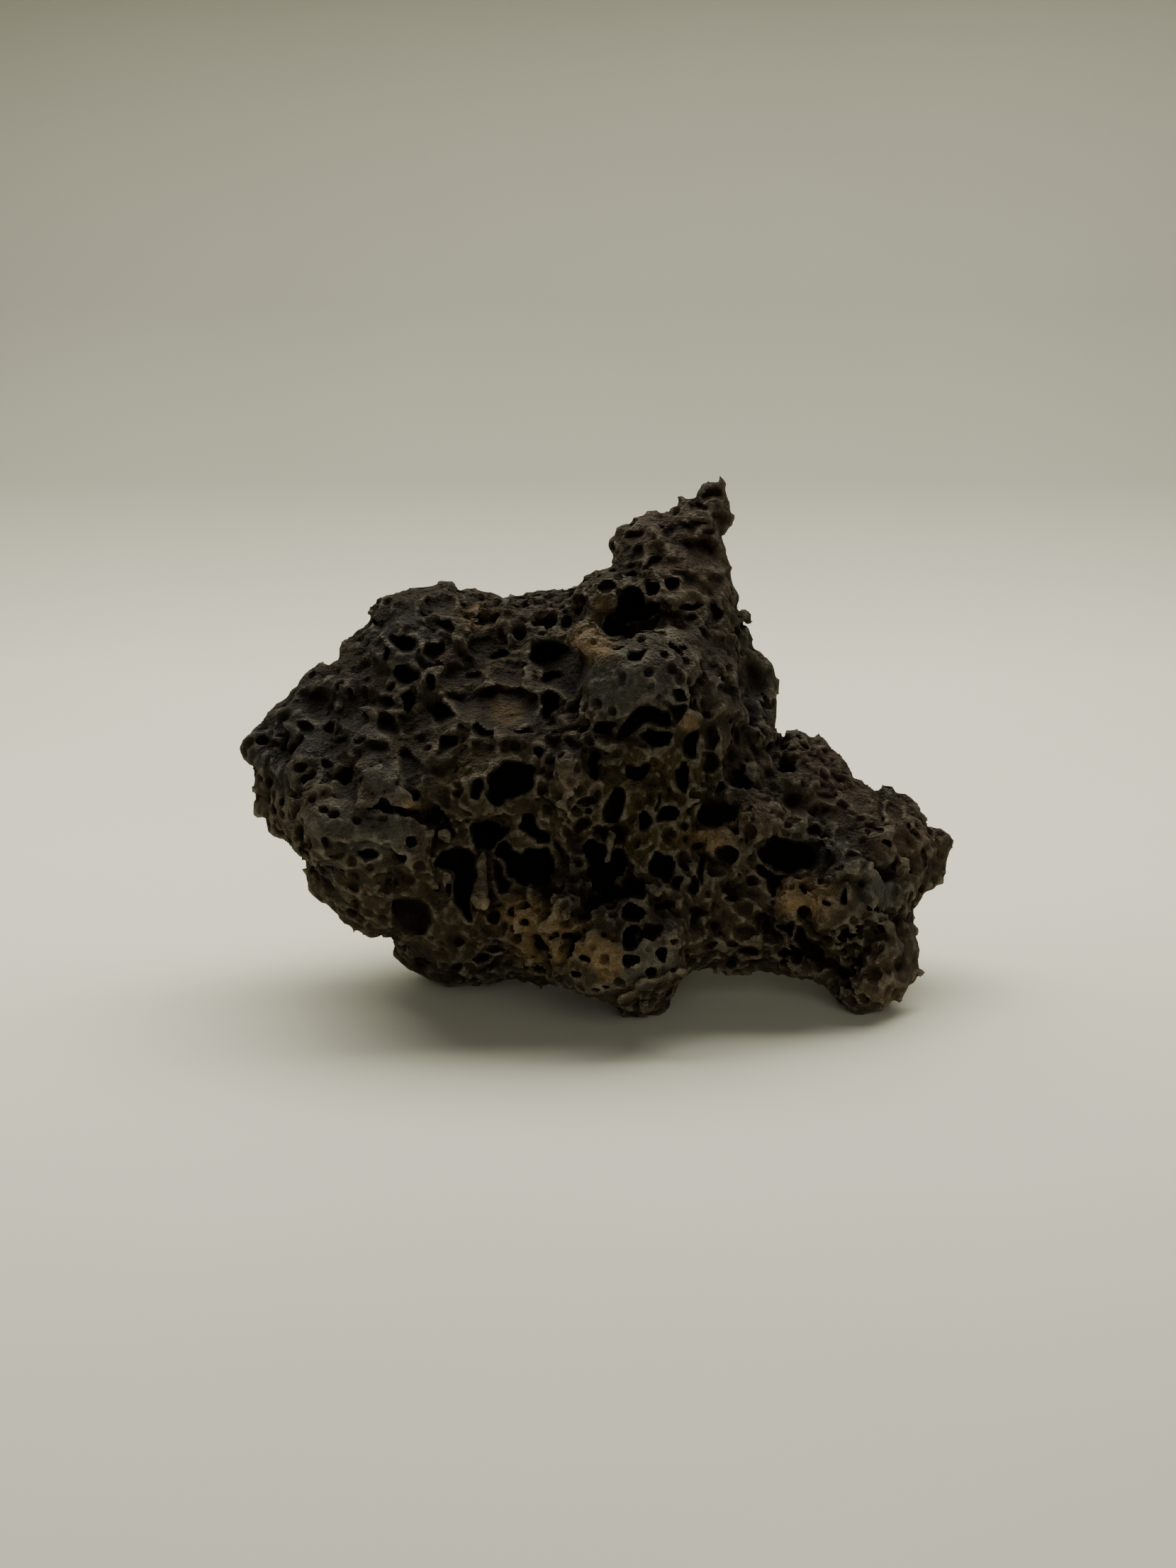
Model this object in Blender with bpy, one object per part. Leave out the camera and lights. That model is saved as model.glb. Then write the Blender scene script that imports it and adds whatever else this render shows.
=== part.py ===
"""Lava rock: one hand-sized piece of vesicular basalt, standing on three low feet.

The rock is drawn in a sitter's view and then carried to the table. In that view a
place is across (right), up and back (away from the sitter), all in millimetres.
Run with: blender --background --python part.py
"""
import math

import bmesh
import bpy
import numpy as np
from mathutils import Euler, Vector
from mathutils.bvhtree import BVHTree

MM = 0.001

# The sitter's view: how high and how far the eye is, the point it looks at, and how
# far back of the drawing plane its zero row meets the table.
EYE_ELEVATION = math.radians(14.0)
EYE_DISTANCE = 460.8
AIM_ACROSS, AIM_UP = -1.7, 48.9
TABLE_ROW_BACK = -12.0

# The rock's edge against the background, (across, up), clockwise from the left nose.
OUTLINE = [
    (-76.2, 56.3), (-75.3, 58.0), (-74.0, 60.0), (-72.2, 62.4), (-70.6, 64.8), (-69.8, 65.1),
    (-68.6, 66.6), (-66.4, 67.6), (-64.3, 70.4), (-62.9, 71.8), (-61.0, 74.0), (-58.6, 75.7),
    (-57.3, 75.1), (-55.4, 75.2), (-55.1, 76.6), (-54.0, 79.8), (-52.5, 80.8), (-51.0, 82.0),
    (-49.8, 82.4), (-49.2, 84.9), (-48.9, 86.6), (-47.6, 88.1), (-45.6, 89.1), (-43.2, 90.0),
    (-41.2, 90.9), (-39.0, 91.8), (-34.6, 92.1), (-33.8, 93.2), (-31.0, 92.6), (-29.7, 90.4),
    (-27.0, 90.9), (-26.4, 91.5), (-24.0, 90.8), (-21.5, 89.7), (-19.9, 88.9), (-18.8, 89.9),
    (-16.4, 90.1), (-15.8, 90.9), (-12.2, 90.6), (-10.2, 90.0), (-7.0, 90.6), (-5.4, 91.6),
    (-3.6, 93.3), (-1.8, 94.2), (-1.0, 95.6), (0.4, 95.0), (3.2, 95.6), (3.1, 98.2),
    (2.6, 99.8), (2.7, 101.3), (3.9, 101.9), (4.5, 104.0), (6.5, 105.6), (7.1, 106.5),
    (9.4, 106.4), (10.6, 107.5), (12.4, 107.5), (13.8, 106.7), (15.3, 107.6), (16.7, 108.8),
    (17.1, 110.5), (20.2, 110.9), (20.7, 112.0), (23.4, 113.6), (25.2, 113.9), (26.0, 114.7),
    (27.2, 114.5), (27.7, 113.6), (27.2, 112.0), (27.4, 109.6), (28.4, 107.7), (29.6, 107.0),
    (29.5, 105.6), (28.6, 104.0), (26.8, 102.2), (25.9, 102.4), (26.9, 99.8), (27.1, 98.2),
    (27.8, 96.8), (28.5, 95.0), (28.9, 91.4), (29.8, 89.0), (29.8, 86.8), (31.2, 84.8),
    (30.4, 83.9), (31.9, 82.4), (32.8, 80.6), (33.0, 78.0), (34.4, 77.5), (36.5, 75.1),
    (37.3, 71.9), (38.0, 71.4), (37.8, 70.2), (38.5, 67.2), (38.4, 63.6), (38.0, 60.4),
    (37.9, 58.2), (39.2, 57.0), (40.5, 58.8), (40.6, 60.5), (41.3, 61.0), (42.8, 60.1),
    (45.0, 59.4), (46.8, 60.0), (48.7, 58.4), (49.5, 56.8), (52.0, 55.1), (53.0, 54.0),
    (52.9, 52.6), (54.1, 50.6), (55.8, 50.1), (57.4, 48.7), (59.5, 47.9), (60.0, 49.4),
    (62.8, 49.3), (63.6, 47.8), (65.8, 47.6), (66.8, 46.3), (68.4, 44.7), (69.2, 42.6),
    (70.6, 40.1), (72.8, 40.4), (74.4, 39.2), (76.4, 37.0), (75.2, 35.2), (74.3, 33.6),
    (73.4, 30.0), (72.8, 28.0), (71.2, 26.6), (69.2, 25.8), (68.6, 24.2), (67.0, 22.2),
    (66.6, 19.4), (68.1, 16.6), (68.3, 13.4), (68.7, 9.0), (67.6, 6.6), (66.0, 5.7),
    (64.2, 4.1), (62.4, 4.7), (59.2, 3.6), (57.7, 2.2), (56.9, 0.4), (56.0, 0.0),
    (53.8, 1.2), (51.5, 3.1), (49.8, 2.8), (48.6, 4.6), (46.4, 6.8), (42.0, 7.7),
    (38.4, 8.6), (36.2, 9.5), (32.6, 8.4), (30.1, 7.6), (28.4, 8.6), (26.0, 8.8),
    (24.2, 10.6), (20.8, 10.2), (18.4, 9.8), (16.4, 8.0), (15.0, 6.0), (14.2, 3.6),
    (13.4, 1.4), (11.6, 0.0), (8.0, 0.0), (6.5, 1.4), (5.8, 2.8), (2.6, 2.1),
    (-2.0, 3.9), (-4.3, 5.4), (-5.4, 7.0), (-9.2, 6.4), (-12.4, 5.2), (-15.4, 6.6),
    (-19.0, 7.6), (-23.5, 6.8), (-27.4, 5.6), (-30.4, 5.3), (-33.6, 6.4), (-37.8, 8.0),
    (-40.3, 9.8), (-43.2, 12.3), (-42.9, 15.2), (-43.5, 16.6), (-45.0, 16.8), (-47.2, 15.8),
    (-49.0, 15.7), (-51.8, 17.6), (-53.8, 18.9), (-54.7, 20.2), (-58.0, 22.8), (-60.0, 24.9),
    (-62.3, 26.8), (-62.2, 29.4), (-63.0, 31.0), (-61.6, 32.2), (-64.6, 34.0), (-65.3, 35.3),
    (-67.2, 37.2), (-69.6, 37.6), (-70.9, 38.6), (-71.5, 41.8), (-72.7, 43.2), (-72.6, 45.4),
    (-73.6, 48.0), (-73.6, 52.1), (-75.7, 54.5),
]

# How thick the rock is around a place: (across, up, back of the middle, reach
# forward, reach back, width of the rounded rim).
THICKNESS = [
    (-70, 55, 2, 10, 14, 11),
    (-57, 45, -2, 26, 26, 21),
    (-48, 78, 6, 20, 20, 17),
    (-15, 50, 0, 33, 40, 30),
    (-15, 84, 10, 18, 22, 15),
    (10, 62, -2, 34, 34, 24),
    (18, 88, 4, 20, 18, 14),
    (18, 102, 8, 11, 12, 9),
    (25, 111, 8, 5, 5, 5),
    (34, 60, 4, 24, 26, 14),
    (36, 34, 4, 26, 26, 22),
    (58, 32, 6, 24, 22, 19),
    (72, 35, 8, 9, 10, 9),
    (46, 52, 10, 12, 14, 10),
    (60, 10, -11, 9, 20, 12),
    (8, 14, -10, 24, 26, 14),
    (-32, 14, 4, 30, 22, 16),
    (-52, 26, -4, 18, 20, 14),
]
THICKNESS_SPREAD = 11.0
JAGGED_DEPTH = 5.0
CALM_WIDTH = 4.0
CALM_INSET = 1.2

# Ellipsoids melted on and scooped out: (across, up, back, their half sizes, roll in degrees).
SWELLS = [
    (-50, 39, -22, 17, 10, 10.5, -12),
    (-44, 49, -22, 8, 5, 11, -35),
    (6, 71, -22, 14, 12, 13, 0),
    (6, 13, -22, 14, 9, 13, 12),
    (31, 41, -14, 8, 7, 11, 0),
    (1, 88, -4, 5, 5, 8, 0),
    (52, 26, -14, 10, 9, 9, 0),
]
HOLLOWS = [
    (-20, 34, -37, 18, 12, 13, 0),
    (2, 32, -38, 8, 10, 13, 0),
    (-11, 72, -32, 9, 11, 11, 0),
    (-25, 67, -34, 10, 8, 9, 0),
    (40, 35, -24, 8, 5, 11, 0),
    (5, 86, -15, 7, 6, 9, 0),
    (46, 13, -26, 8, 5, 12, -30),
    (-61, 66, -14, 7, 6, 8, 0),
    (34, 71, -12, 5, 7, 9, 0),
    (23, 56, -34, 3, 8, 6, 0),
]
MELT_WIDTH = 5.0

# Low feet under the rock, in table places: (x, y, their half sizes, dip below the table).
FEET = [
    (9.6, -19.0, 5.5, 7.0, 7.0, 0.9),
    (56.6, -20.0, 5.0, 7.0, 8.0, 0.9),
    (-31.0, 4.0, 9.0, 8.0, 9.0, 0.9),
    (14.0, 25.0, 9.0, 9.0, 14.0, 3.4),
]

# Gas holes seen from the front: (across, up, half width, half height, roll in
# degrees, how far the hole's middle is sunk, in its mean half sizes).
PITS = [
    (-41.8, 79.4, 2.8, 2.1, -15, 0.3), (-34.7, 77.6, 2.6, 2.9, 0, 0.0),
    (-40.9, 72.5, 3.0, 2.4, -10, 0.3), (-33.1, 64.5, 3.1, 2.5, -10, 0.5),
    (-40.5, 66.1, 1.5, 2.4, 0, 0.3), (-26.9, 72.5, 2.5, 2.0, 0, 0.3),
    (-24.7, 60.5, 2.1, 1.6, 0, 0.3), (-32.2, 57.6, 2.6, 2.4, 0, 0.3),
    (-44.9, 61.6, 2.9, 2.0, -40, -0.2), (-56.3, 56.9, 1.9, 2.7, 0, 0.0),
    (-60.8, 64.6, 3.2, 2.6, 0, 0.0), (-68.6, 53.3, 1.9, 1.6, 0, 0.2),
    (-34.7, 87.6, 3.0, 1.7, 0, 0.1), (-23.0, 78.8, 5.2, 3.6, 0, -0.1),
    (-41.0, 55.5, 4.0, 3.6, 0, -0.4), (-50.0, 54.5, 4.2, 3.2, 0, -0.5),
    (-54.4, 49.3, 3.6, 3.2, 0, -0.4), (-35.5, 42.8, 2.3, 2.1, 0, 0.4),
    (-49.8, 34.8, 3.4, 1.5, -15, 0.3), (-56.7, 30.8, 3.2, 2.3, -15, 0.1),
    (-40.0, 21.3, 5.4, 4.3, 0, 0.1), (-29.6, 15.8, 2.6, 2.3, 0, 0.0),
    (-30.4, 10.2, 1.8, 1.5, 0, 0.2), (-56.0, 25.9, 1.9, 1.5, -45, 0.1),
    (-66.0, 46.0, 1.9, 3.0, 0, 0.0), (-30.5, 33.0, 4.0, 4.6, 0, 0.3),
    (-29.3, 26.0, 2.8, 4.4, 0, 0.2), (-10.0, 74.0, 6.0, 6.8, 0, 0.0),
    (-10.0, 67.0, 2.4, 2.6, 0, 0.5), (-5.5, 68.5, 2.2, 2.0, 0, 0.2),
    (-20.0, 66.0, 5.6, 4.3, 0, -0.5), (-12.8, 57.0, 1.5, 1.9, 0, 0.2),
    (-1.1, 53.3, 1.6, 3.2, 0, 0.3), (-17.0, 50.8, 3.8, 4.0, 0, 0.5),
    (1.7, 61.3, 2.3, 1.5, 15, 0.2), (7.4, 63.4, 3.9, 3.7, 35, 0.5),
    (11.5, 59.0, 3.2, 2.5, -20, 0.4), (19.2, 57.8, 1.8, 2.9, -15, 0.4),
    (17.6, 51.3, 1.8, 3.4, 0, 0.4), (6.5, 52.2, 2.0, 2.4, 0, 0.4),
    (9.8, 52.2, 1.7, 2.2, 0, 0.4), (7.7, 76.8, 2.0, 1.3, 0, 0.3),
    (-25.8, 48.1, 1.7, 2.6, 0, 0.3), (-10.3, 43.4, 2.4, 1.3, -15, 0.2),
    (-22.8, 39.3, 4.3, 4.1, 0, 0.5), (-14.0, 33.5, 5.3, 6.2, 0, 0.5),
    (-15.5, 41.0, 2.3, 2.3, 0, 0.3), (1.5, 33.0, 4.7, 5.8, 0, 0.5),
    (7.5, 27.5, 2.6, 2.1, 0, 0.4), (2.6, 43.2, 3.0, 2.6, 0, 0.4),
    (5.0, 46.2, 2.6, 2.8, 0, 0.4), (9.6, 42.0, 1.9, 2.6, 0, 0.3),
    (14.8, 43.5, 2.3, 2.0, 0, 0.3), (24.0, 43.2, 2.9, 2.3, 15, 0.5),
    (13.5, 33.0, 3.5, 2.8, 0, 0.0), (21.2, 21.9, 2.7, 2.2, 0, 0.3),
    (7.3, 22.0, 2.5, 2.0, -20, 0.1), (7.0, 17.8, 1.9, 2.0, 0, 0.3),
    (11.4, 18.5, 2.2, 1.7, 0, 0.2), (-3.7, 21.3, 2.4, 1.5, 0, -0.1),
    (-12.5, 14.8, 2.1, 1.6, 0, 0.2), (-21.7, 13.7, 2.7, 1.3, 0, 0.2),
    (5.0, 86.4, 4.4, 5.0, 0, 0.0), (3.9, 82.2, 2.3, 2.0, 0, 0.4),
    (10.8, 86.3, 1.8, 2.8, -20, 0.3), (16.6, 92.4, 3.4, 2.5, 0, 0.0),
    (19.5, 87.0, 2.8, 1.4, 5, 0.3), (24.6, 86.5, 1.9, 2.8, 0, 0.2),
    (21.0, 99.0, 5.0, 3.6, 0, -0.5), (7.3, 100.0, 2.6, 2.6, 0, -0.3),
    (27.6, 68.6, 2.6, 1.7, -30, 0.3), (33.0, 70.4, 2.8, 4.0, 0, -0.1),
    (23.6, 55.6, 1.9, 5.2, 0, 0.0), (29.8, 50.6, 2.6, 1.6, 0, 0.1),
    (43.9, 52.9, 2.3, 1.4, -35, 0.2), (38.3, 35.3, 5.2, 3.4, 0, 0.3),
    (43.6, 34.0, 2.4, 2.3, 0, 0.5), (35.8, 29.3, 2.1, 3.2, -25, 0.4),
    (45.9, 39.0, 2.0, 1.6, 0, 0.1), (52.5, 38.0, 2.2, 1.8, 0, 0.1),
    (52.9, 33.7, 2.3, 1.5, 0, 0.1), (47.5, 46.4, 3.4, 2.0, 0, -0.2),
    (39.7, 18.3, 2.0, 2.4, 0, 0.4), (46.3, 12.6, 5.2, 2.8, -25, 0.3),
    (58.5, 8.4, 3.2, 2.8, 0, -0.3), (62.0, 43.2, 2.1, 3.2, 0, -0.2),
    (69.5, 31.4, 2.0, 3.6, 0, -0.3), (31.0, 13.4, 2.2, 1.6, 0, 0.1),
]
PIT_BACK_REACH = 1.35      # how far a pit reaches into the rock, in its mean half sizes
PIT_FACES_LEVEL = 2

# Gas holes on the sides that the sitter doesn't see, spread evenly by a spiral.
HIDDEN_PIT_TRIES = 120
HIDDEN_PIT_RADII = (2.8, 5.6)
HIDDEN_PIT_SINK = (-0.2, 0.4)
SPIRAL_TURN = math.pi * (3.0 - math.sqrt(5.0))

# The grid that the body is worked out on, and how it is thinned.
CELL = 1.5
FILL_DEPTH = 0.3
SOFTENING = 0.5
LUMP_HEIGHT = 1.1
LUMP_WIDTH = 3.4
SKIN_CELL = 1.2
TRIANGLES = 9300
SEED = 7

STONE_COLOUR = (0.052, 0.043, 0.033, 1.0)
STONE_ROUGHNESS = 0.88


def clear_scene():
    """Take the start-up objects out."""
    for item in list(bpy.data.objects):
        bpy.data.objects.remove(item, do_unlink=True)


def stone_material():
    """Dull charcoal brown basalt."""
    material = bpy.data.materials.new("basalt")
    material.use_nodes = True
    shader = material.node_tree.nodes["Principled BSDF"]
    shader.inputs["Base Color"].default_value = STONE_COLOUR
    shader.inputs["Roughness"].default_value = STONE_ROUGHNESS
    shader.inputs["Metallic"].default_value = 0.0
    return material


# ---- from the sitter's view to the table ----------------------------------------

SIN, COS = math.sin(EYE_ELEVATION), math.cos(EYE_ELEVATION)
ROW_SCALE = (EYE_DISTANCE + TABLE_ROW_BACK) / EYE_DISTANCE
EYE_Y = -EYE_DISTANCE * COS
EYE_Z = AIM_UP * ROW_SCALE * COS + (EYE_DISTANCE + TABLE_ROW_BACK) * SIN


def to_table(across, up, back):
    """Places in the sitter's view as table places, along that eye's lines of sight.

    A line of sight spreads with distance, so across and up grow by (D + back) / D.
    """
    scale = (EYE_DISTANCE + back) / EYE_DISTANCE
    x = AIM_ACROSS + (across - AIM_ACROSS) * scale
    y = EYE_Y + (up - AIM_UP) * scale * SIN + (EYE_DISTANCE + back) * COS
    z = EYE_Z + (up - AIM_UP) * scale * COS - (EYE_DISTANCE + back) * SIN
    return x, y, z


# ---- the body as one field, negative inside -------------------------------------

def outline_inset(across, up):
    """How far inside the outline each place is: the distance to its nearest side."""
    corners = np.array(OUTLINE)
    nearest = np.full(across.shape, np.inf)
    inside = np.zeros(across.shape, dtype=bool)
    for (ax, ay), (bx, by) in zip(corners, np.roll(corners, -1, axis=0)):
        dx, dy = bx - ax, by - ay
        along = ((across - ax) * dx + (up - ay) * dy) / (dx * dx + dy * dy)
        along = np.clip(along, 0.0, 1.0)
        gap = np.hypot(across - ax - along * dx, up - ay - along * dy)
        nearest = np.minimum(nearest, gap)
        if ay != by:
            crossing = ((ay > up) != (by > up)) & (across < dx * (up - ay) / dy + ax)
            inside ^= crossing
    return np.where(inside, nearest, -nearest)


def blurred(values, width):
    """Values averaged with a bell-shaped weight along every axis, width in grid steps."""
    reach = int(3 * width)
    bell = np.exp(-0.5 * (np.arange(-reach, reach + 1) / width) ** 2)
    bell /= bell.sum()
    for axis in range(values.ndim):
        padding = [(reach, reach) if axis == i else (0, 0) for i in range(values.ndim)]
        padded = np.pad(values, padding, mode="edge")
        length = values.shape[axis]
        values = sum(
            weight * np.take(padded, range(step, step + length), axis=axis)
            for step, weight in enumerate(bell)
        )
    return values


def thickness_maps(across, up):
    """Middle, reach forward, reach back and rim width, blended between the stations."""
    stations = np.array(THICKNESS, dtype=float)
    away = [(across - a) ** 2 + (up - u) ** 2 for a, u in stations[:, :2]]
    weights = np.array([np.exp(-d / (2 * THICKNESS_SPREAD ** 2)) + 1e-6 / (1 + d) for d in away])
    weights /= weights.sum(axis=0)
    return [np.tensordot(column, weights, 1) for column in stations[:, 2:].T]


def ellipsoid(across, up, back, shape):
    """About the distance to an ellipsoid: (length in half sizes - 1) x least half size."""
    a, u, b, half_a, half_u, half_b, roll = shape
    turn = math.radians(roll)
    da, du, db = across - a, up - u, back - b
    along = da * math.cos(turn) + du * math.sin(turn)
    aside = du * math.cos(turn) - da * math.sin(turn)
    length = np.sqrt((along / half_a) ** 2 + (aside / half_u) ** 2 + (db / half_b) ** 2)
    return (length - 1.0) * min(half_a, half_u, half_b)


def melted(first, second):
    """The smaller of two fields, with a soft join MELT_WIDTH wide."""
    blend = np.clip(0.5 + 0.5 * (second - first) / MELT_WIDTH, 0.0, 1.0)
    return second + (first - second) * blend - MELT_WIDTH * blend * (1.0 - blend)


def body_field(across, up, back):
    """The rock without its holes, on a grid given by three axes.

    A pillow over the outline: inside the rim the surface is an ellipse arc, from the
    outline out to the full reach, so that (rim - inset)^2 + (depth x rim / reach)^2
    is rim^2. The outline's small teeth fade out in front of and behind the middle.
    Swells and feet are melted on and hollows melted out of it.
    """
    flat_across, flat_up = np.meshgrid(across, up, indexing="ij")
    inset = outline_inset(flat_across, flat_up)
    middle, forward, backward, rim = (m[:, :, None] for m in thickness_maps(flat_across, flat_up))
    calm = np.minimum(inset, blurred(inset, CALM_WIDTH / CELL) - CALM_INSET)[:, :, None]
    inset = inset[:, :, None]
    grid = np.meshgrid(across, up, back, indexing="ij")
    depth = grid[2] - middle
    calmness = np.clip(np.abs(depth) / JAGGED_DEPTH, 0.0, 1.0)
    edge = inset + (calm - inset) * calmness
    stretch = np.where(depth < 0, rim / forward, rim / backward)
    field = np.hypot(np.maximum(rim - edge, 0.0), depth * stretch) - rim
    for shape in SWELLS:
        field = melted(field, ellipsoid(*grid, shape))
    x, y, z = to_table(*grid)
    for foot_x, foot_y, half_x, half_y, half_z, dip in FEET:
        foot = (foot_x, foot_y, half_z - dip, half_x, half_y, half_z, 0)
        field = melted(field, ellipsoid(x, y, z, foot))
    for shape in HOLLOWS:
        field = -melted(-field, ellipsoid(*grid, shape))
    lumps = blurred(np.random.default_rng(SEED).normal(size=field.shape), LUMP_WIDTH / CELL)
    field += lumps * (LUMP_HEIGHT / lumps.std())
    return blurred(np.maximum(field, -inset), SOFTENING)


def without_pinches(field):
    """The field with no grid face whose four corners are in, out, in, out by turns.

    There the surface would touch itself along an edge, so one of the two outer
    corners is filled, until no such face is left.
    """
    field = field.copy()
    pinched = True
    while pinched:
        pinched = False
        for one, two in ((0, 1), (0, 2), (1, 2)):
            for flip in (False, True):
                corners = []
                for low_one, low_two in ((True, True), (False, True), (True, False), (False, False)):
                    pick = [slice(None)] * 3
                    pick[one] = slice(None, -1) if low_one else slice(1, None)
                    pick[two] = slice(None, -1) if low_two else slice(1, None)
                    corners.append(field[tuple(pick)])
                if flip:
                    corners = [corners[1], corners[0], corners[3], corners[2]]
                turns = (corners[0] < 0) & (corners[3] < 0) & (corners[1] >= 0) & (corners[2] >= 0)
                corners[1][turns] = -FILL_DEPTH
                pinched = pinched or bool(turns.any())
    return field


def skin(field, axes):
    """The zero surface as vertices and quads.

    Each grid cell that the surface crosses gets one vertex, at the mean of the
    crossings on its 12 edges, and each grid edge that it crosses gets one quad, over
    the 4 cells around that edge.
    """
    inside = field < 0
    cells = tuple(n - 1 for n in field.shape)
    total = np.zeros(cells + (3,))
    count = np.zeros(cells)
    for axis in range(3):
        others = [i for i in range(3) if i != axis]
        for low_or_high in np.ndindex(2, 2):
            start = [0, 0, 0]
            start[others[0]], start[others[1]] = low_or_high
            end = list(start)
            end[axis] = 1
            near = tuple(slice(s, s + c) for s, c in zip(start, cells))
            far = tuple(slice(s, s + c) for s, c in zip(end, cells))
            crossed = inside[near] != inside[far]
            share = np.where(crossed, field[near] / np.where(crossed, field[near] - field[far], 1.0), 0.0)
            for i in range(3):
                total[..., i] += np.where(crossed, start[i] + (share if i == axis else 0.0), 0.0)
            count += crossed
    used = count > 0
    number = np.full(cells, -1)
    number[used] = np.arange(used.sum())
    places = np.argwhere(used) + total[used] / count[used][:, None]
    vertices = [axes[i][0] + places[:, i] * (axes[i][1] - axes[i][0]) for i in range(3)]
    quads = []
    for axis in range(3):
        one, two = [i for i in range(3) if i != axis]
        if axis == 1:
            one, two = two, one
        ahead = np.roll(inside, -1, axis)
        edges = inside != ahead
        for i in range(3):
            edge_slice = [slice(None)] * 3
            edge_slice[i] = -1
            edges[tuple(edge_slice)] = False
            if i != axis:
                edge_slice[i] = 0
                edges[tuple(edge_slice)] = False
        at = np.argwhere(edges)
        corner = [at.copy() for _ in range(4)]
        corner[0][:, one] -= 1
        corner[0][:, two] -= 1
        corner[1][:, two] -= 1
        corner[3][:, one] -= 1
        ring = np.stack([number[tuple(c.T)] for c in corner], axis=1)
        leaving = inside[tuple(at.T)]
        ring[leaving] = ring[leaving][:, ::-1]
        quads.append(ring)
    return np.stack(vertices, axis=1), np.concatenate(quads)


def body_mesh():
    """The body's surface, carried to the table."""
    corners = np.array(OUTLINE)
    low, high = corners.min(axis=0) - 3 * CELL, corners.max(axis=0) + 3 * CELL
    across = np.arange(low[0], high[0], CELL)
    up = np.arange(low[1], high[1], CELL)
    back = np.arange(-48.0, 56.0, CELL)
    field = body_field(across, up, back)
    places, quads = skin(without_pinches(field), (across, up, back))
    table = np.stack(to_table(*places.T), axis=1) * MM
    mesh = bpy.data.meshes.new("lava_rock")
    mesh.from_pydata(table.tolist(), [], quads.tolist())
    mesh.update()
    return mesh


# ---- gas holes --------------------------------------------------------------------

def add_hole(cutters, middle, half_sizes, turn):
    """One egg-shaped hole cutter, its half sizes along the axes of the given turn."""
    made = bmesh.ops.create_icosphere(cutters, subdivisions=PIT_FACES_LEVEL, radius=1.0)
    for vertex in made["verts"]:
        local = Vector(co * half for co, half in zip(vertex.co, half_sizes))
        vertex.co = middle + turn @ local


def add_front_pits(cutters, surface):
    """The drawn pits, each sunk along its line of sight from where that meets the rock."""
    eye = Vector(to_table(AIM_ACROSS, AIM_UP, -EYE_DISTANCE)) * MM
    for across, up, half_width, half_height, roll, sink in PITS:
        aim = Vector(to_table(across, up, 0.0)) * MM
        sight = (aim - eye).normalized()
        hit = surface.ray_cast(eye, sight)[0]
        mean = math.sqrt(half_width * half_height)
        middle = hit + sight * (sink * mean * MM)
        tilt = Euler((-EYE_ELEVATION, 0.0, 0.0)).to_matrix()
        spin = Euler((0.0, -math.radians(roll), 0.0)).to_matrix()
        reach = PIT_BACK_REACH * mean
        # Sunk pits are wider inside than at their mouths.
        swell = 1.0 / math.sqrt(max(1.0 - (sink / PIT_BACK_REACH) ** 2, 0.3))
        half_sizes = (half_width * swell * MM, reach * MM, half_height * swell * MM)
        add_hole(cutters, middle, half_sizes, tilt @ spin)


def add_hidden_pits(cutters, surface):
    """Round pits over the back, the top, the sides and underneath."""
    chance = np.random.default_rng(SEED + 1)
    centre = Vector((0.0, 0.0, 45.0)) * MM
    eye = Vector(to_table(AIM_ACROSS, AIM_UP, -EYE_DISTANCE)) * MM
    taken = []
    for i in range(HIDDEN_PIT_TRIES):
        height = 1.0 - 2.0 * (i + 0.5) / HIDDEN_PIT_TRIES
        ring = math.sqrt(1.0 - height * height)
        turn = i * SPIRAL_TURN
        way = Vector((ring * math.cos(turn), ring * math.sin(turn), height))
        radius = chance.uniform(*HIDDEN_PIT_RADII) * MM
        sink = chance.uniform(*HIDDEN_PIT_SINK)
        hit, normal, _, _ = surface.ray_cast(centre + way * 0.3, -way)
        if hit is None or hit.z < 6.0 * MM:
            continue
        if normal.dot((eye - hit).normalized()) > -0.05:
            continue
        if any((hit - other).length < (radius + size) * 1.05 for other, size in taken):
            continue
        taken.append((hit, radius))
        stretch = chance.uniform(0.8, 1.2)
        turned = Euler(chance.uniform(0.0, math.pi, size=3)).to_matrix()
        add_hole(cutters, hit - normal * (sink * radius), (radius * stretch, radius, radius / stretch), turned)


def cutter_object(name, shape):
    """A hidden object that only cuts."""
    mesh = bpy.data.meshes.new(name)
    shape.to_mesh(mesh)
    shape.free()
    cutter = bpy.data.objects.new(name, mesh)
    cutter.hide_render = True
    cutter.display_type = "WIRE"
    bpy.context.collection.objects.link(cutter)
    return cutter


def pit_cutters(mesh):
    """All gas holes as one cutter."""
    shape = bmesh.new()
    shape.from_mesh(mesh)
    surface = BVHTree.FromBMesh(shape)
    shape.free()
    cutters = bmesh.new()
    add_front_pits(cutters, surface)
    add_hidden_pits(cutters, surface)
    return cutter_object("pit_cutters", cutters)


def table_cutter():
    """A block whose top is the table: it cuts the feet flat."""
    size = 0.3
    shape = bmesh.new()
    bmesh.ops.create_cube(shape, size=size)
    bmesh.ops.translate(shape, verts=shape.verts, vec=(0.0, 0.0, -size / 2))
    return cutter_object("table_cutter", shape)


def cut_with(rock, cutter, self_crossing=False):
    """An exact Boolean difference."""
    cut = rock.modifiers.new("cut_" + cutter.name, "BOOLEAN")
    cut.operation = "DIFFERENCE"
    cut.solver = "EXACT"
    cut.use_self = self_crossing
    cut.object = cutter


def even_out(rock):
    """One even skin over the body and its holes, so that it thins cleanly."""
    even = rock.modifiers.new("even_out", "REMESH")
    even.mode = "VOXEL"
    even.voxel_size = SKIN_CELL * MM
    even.adaptivity = 0.0


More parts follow.
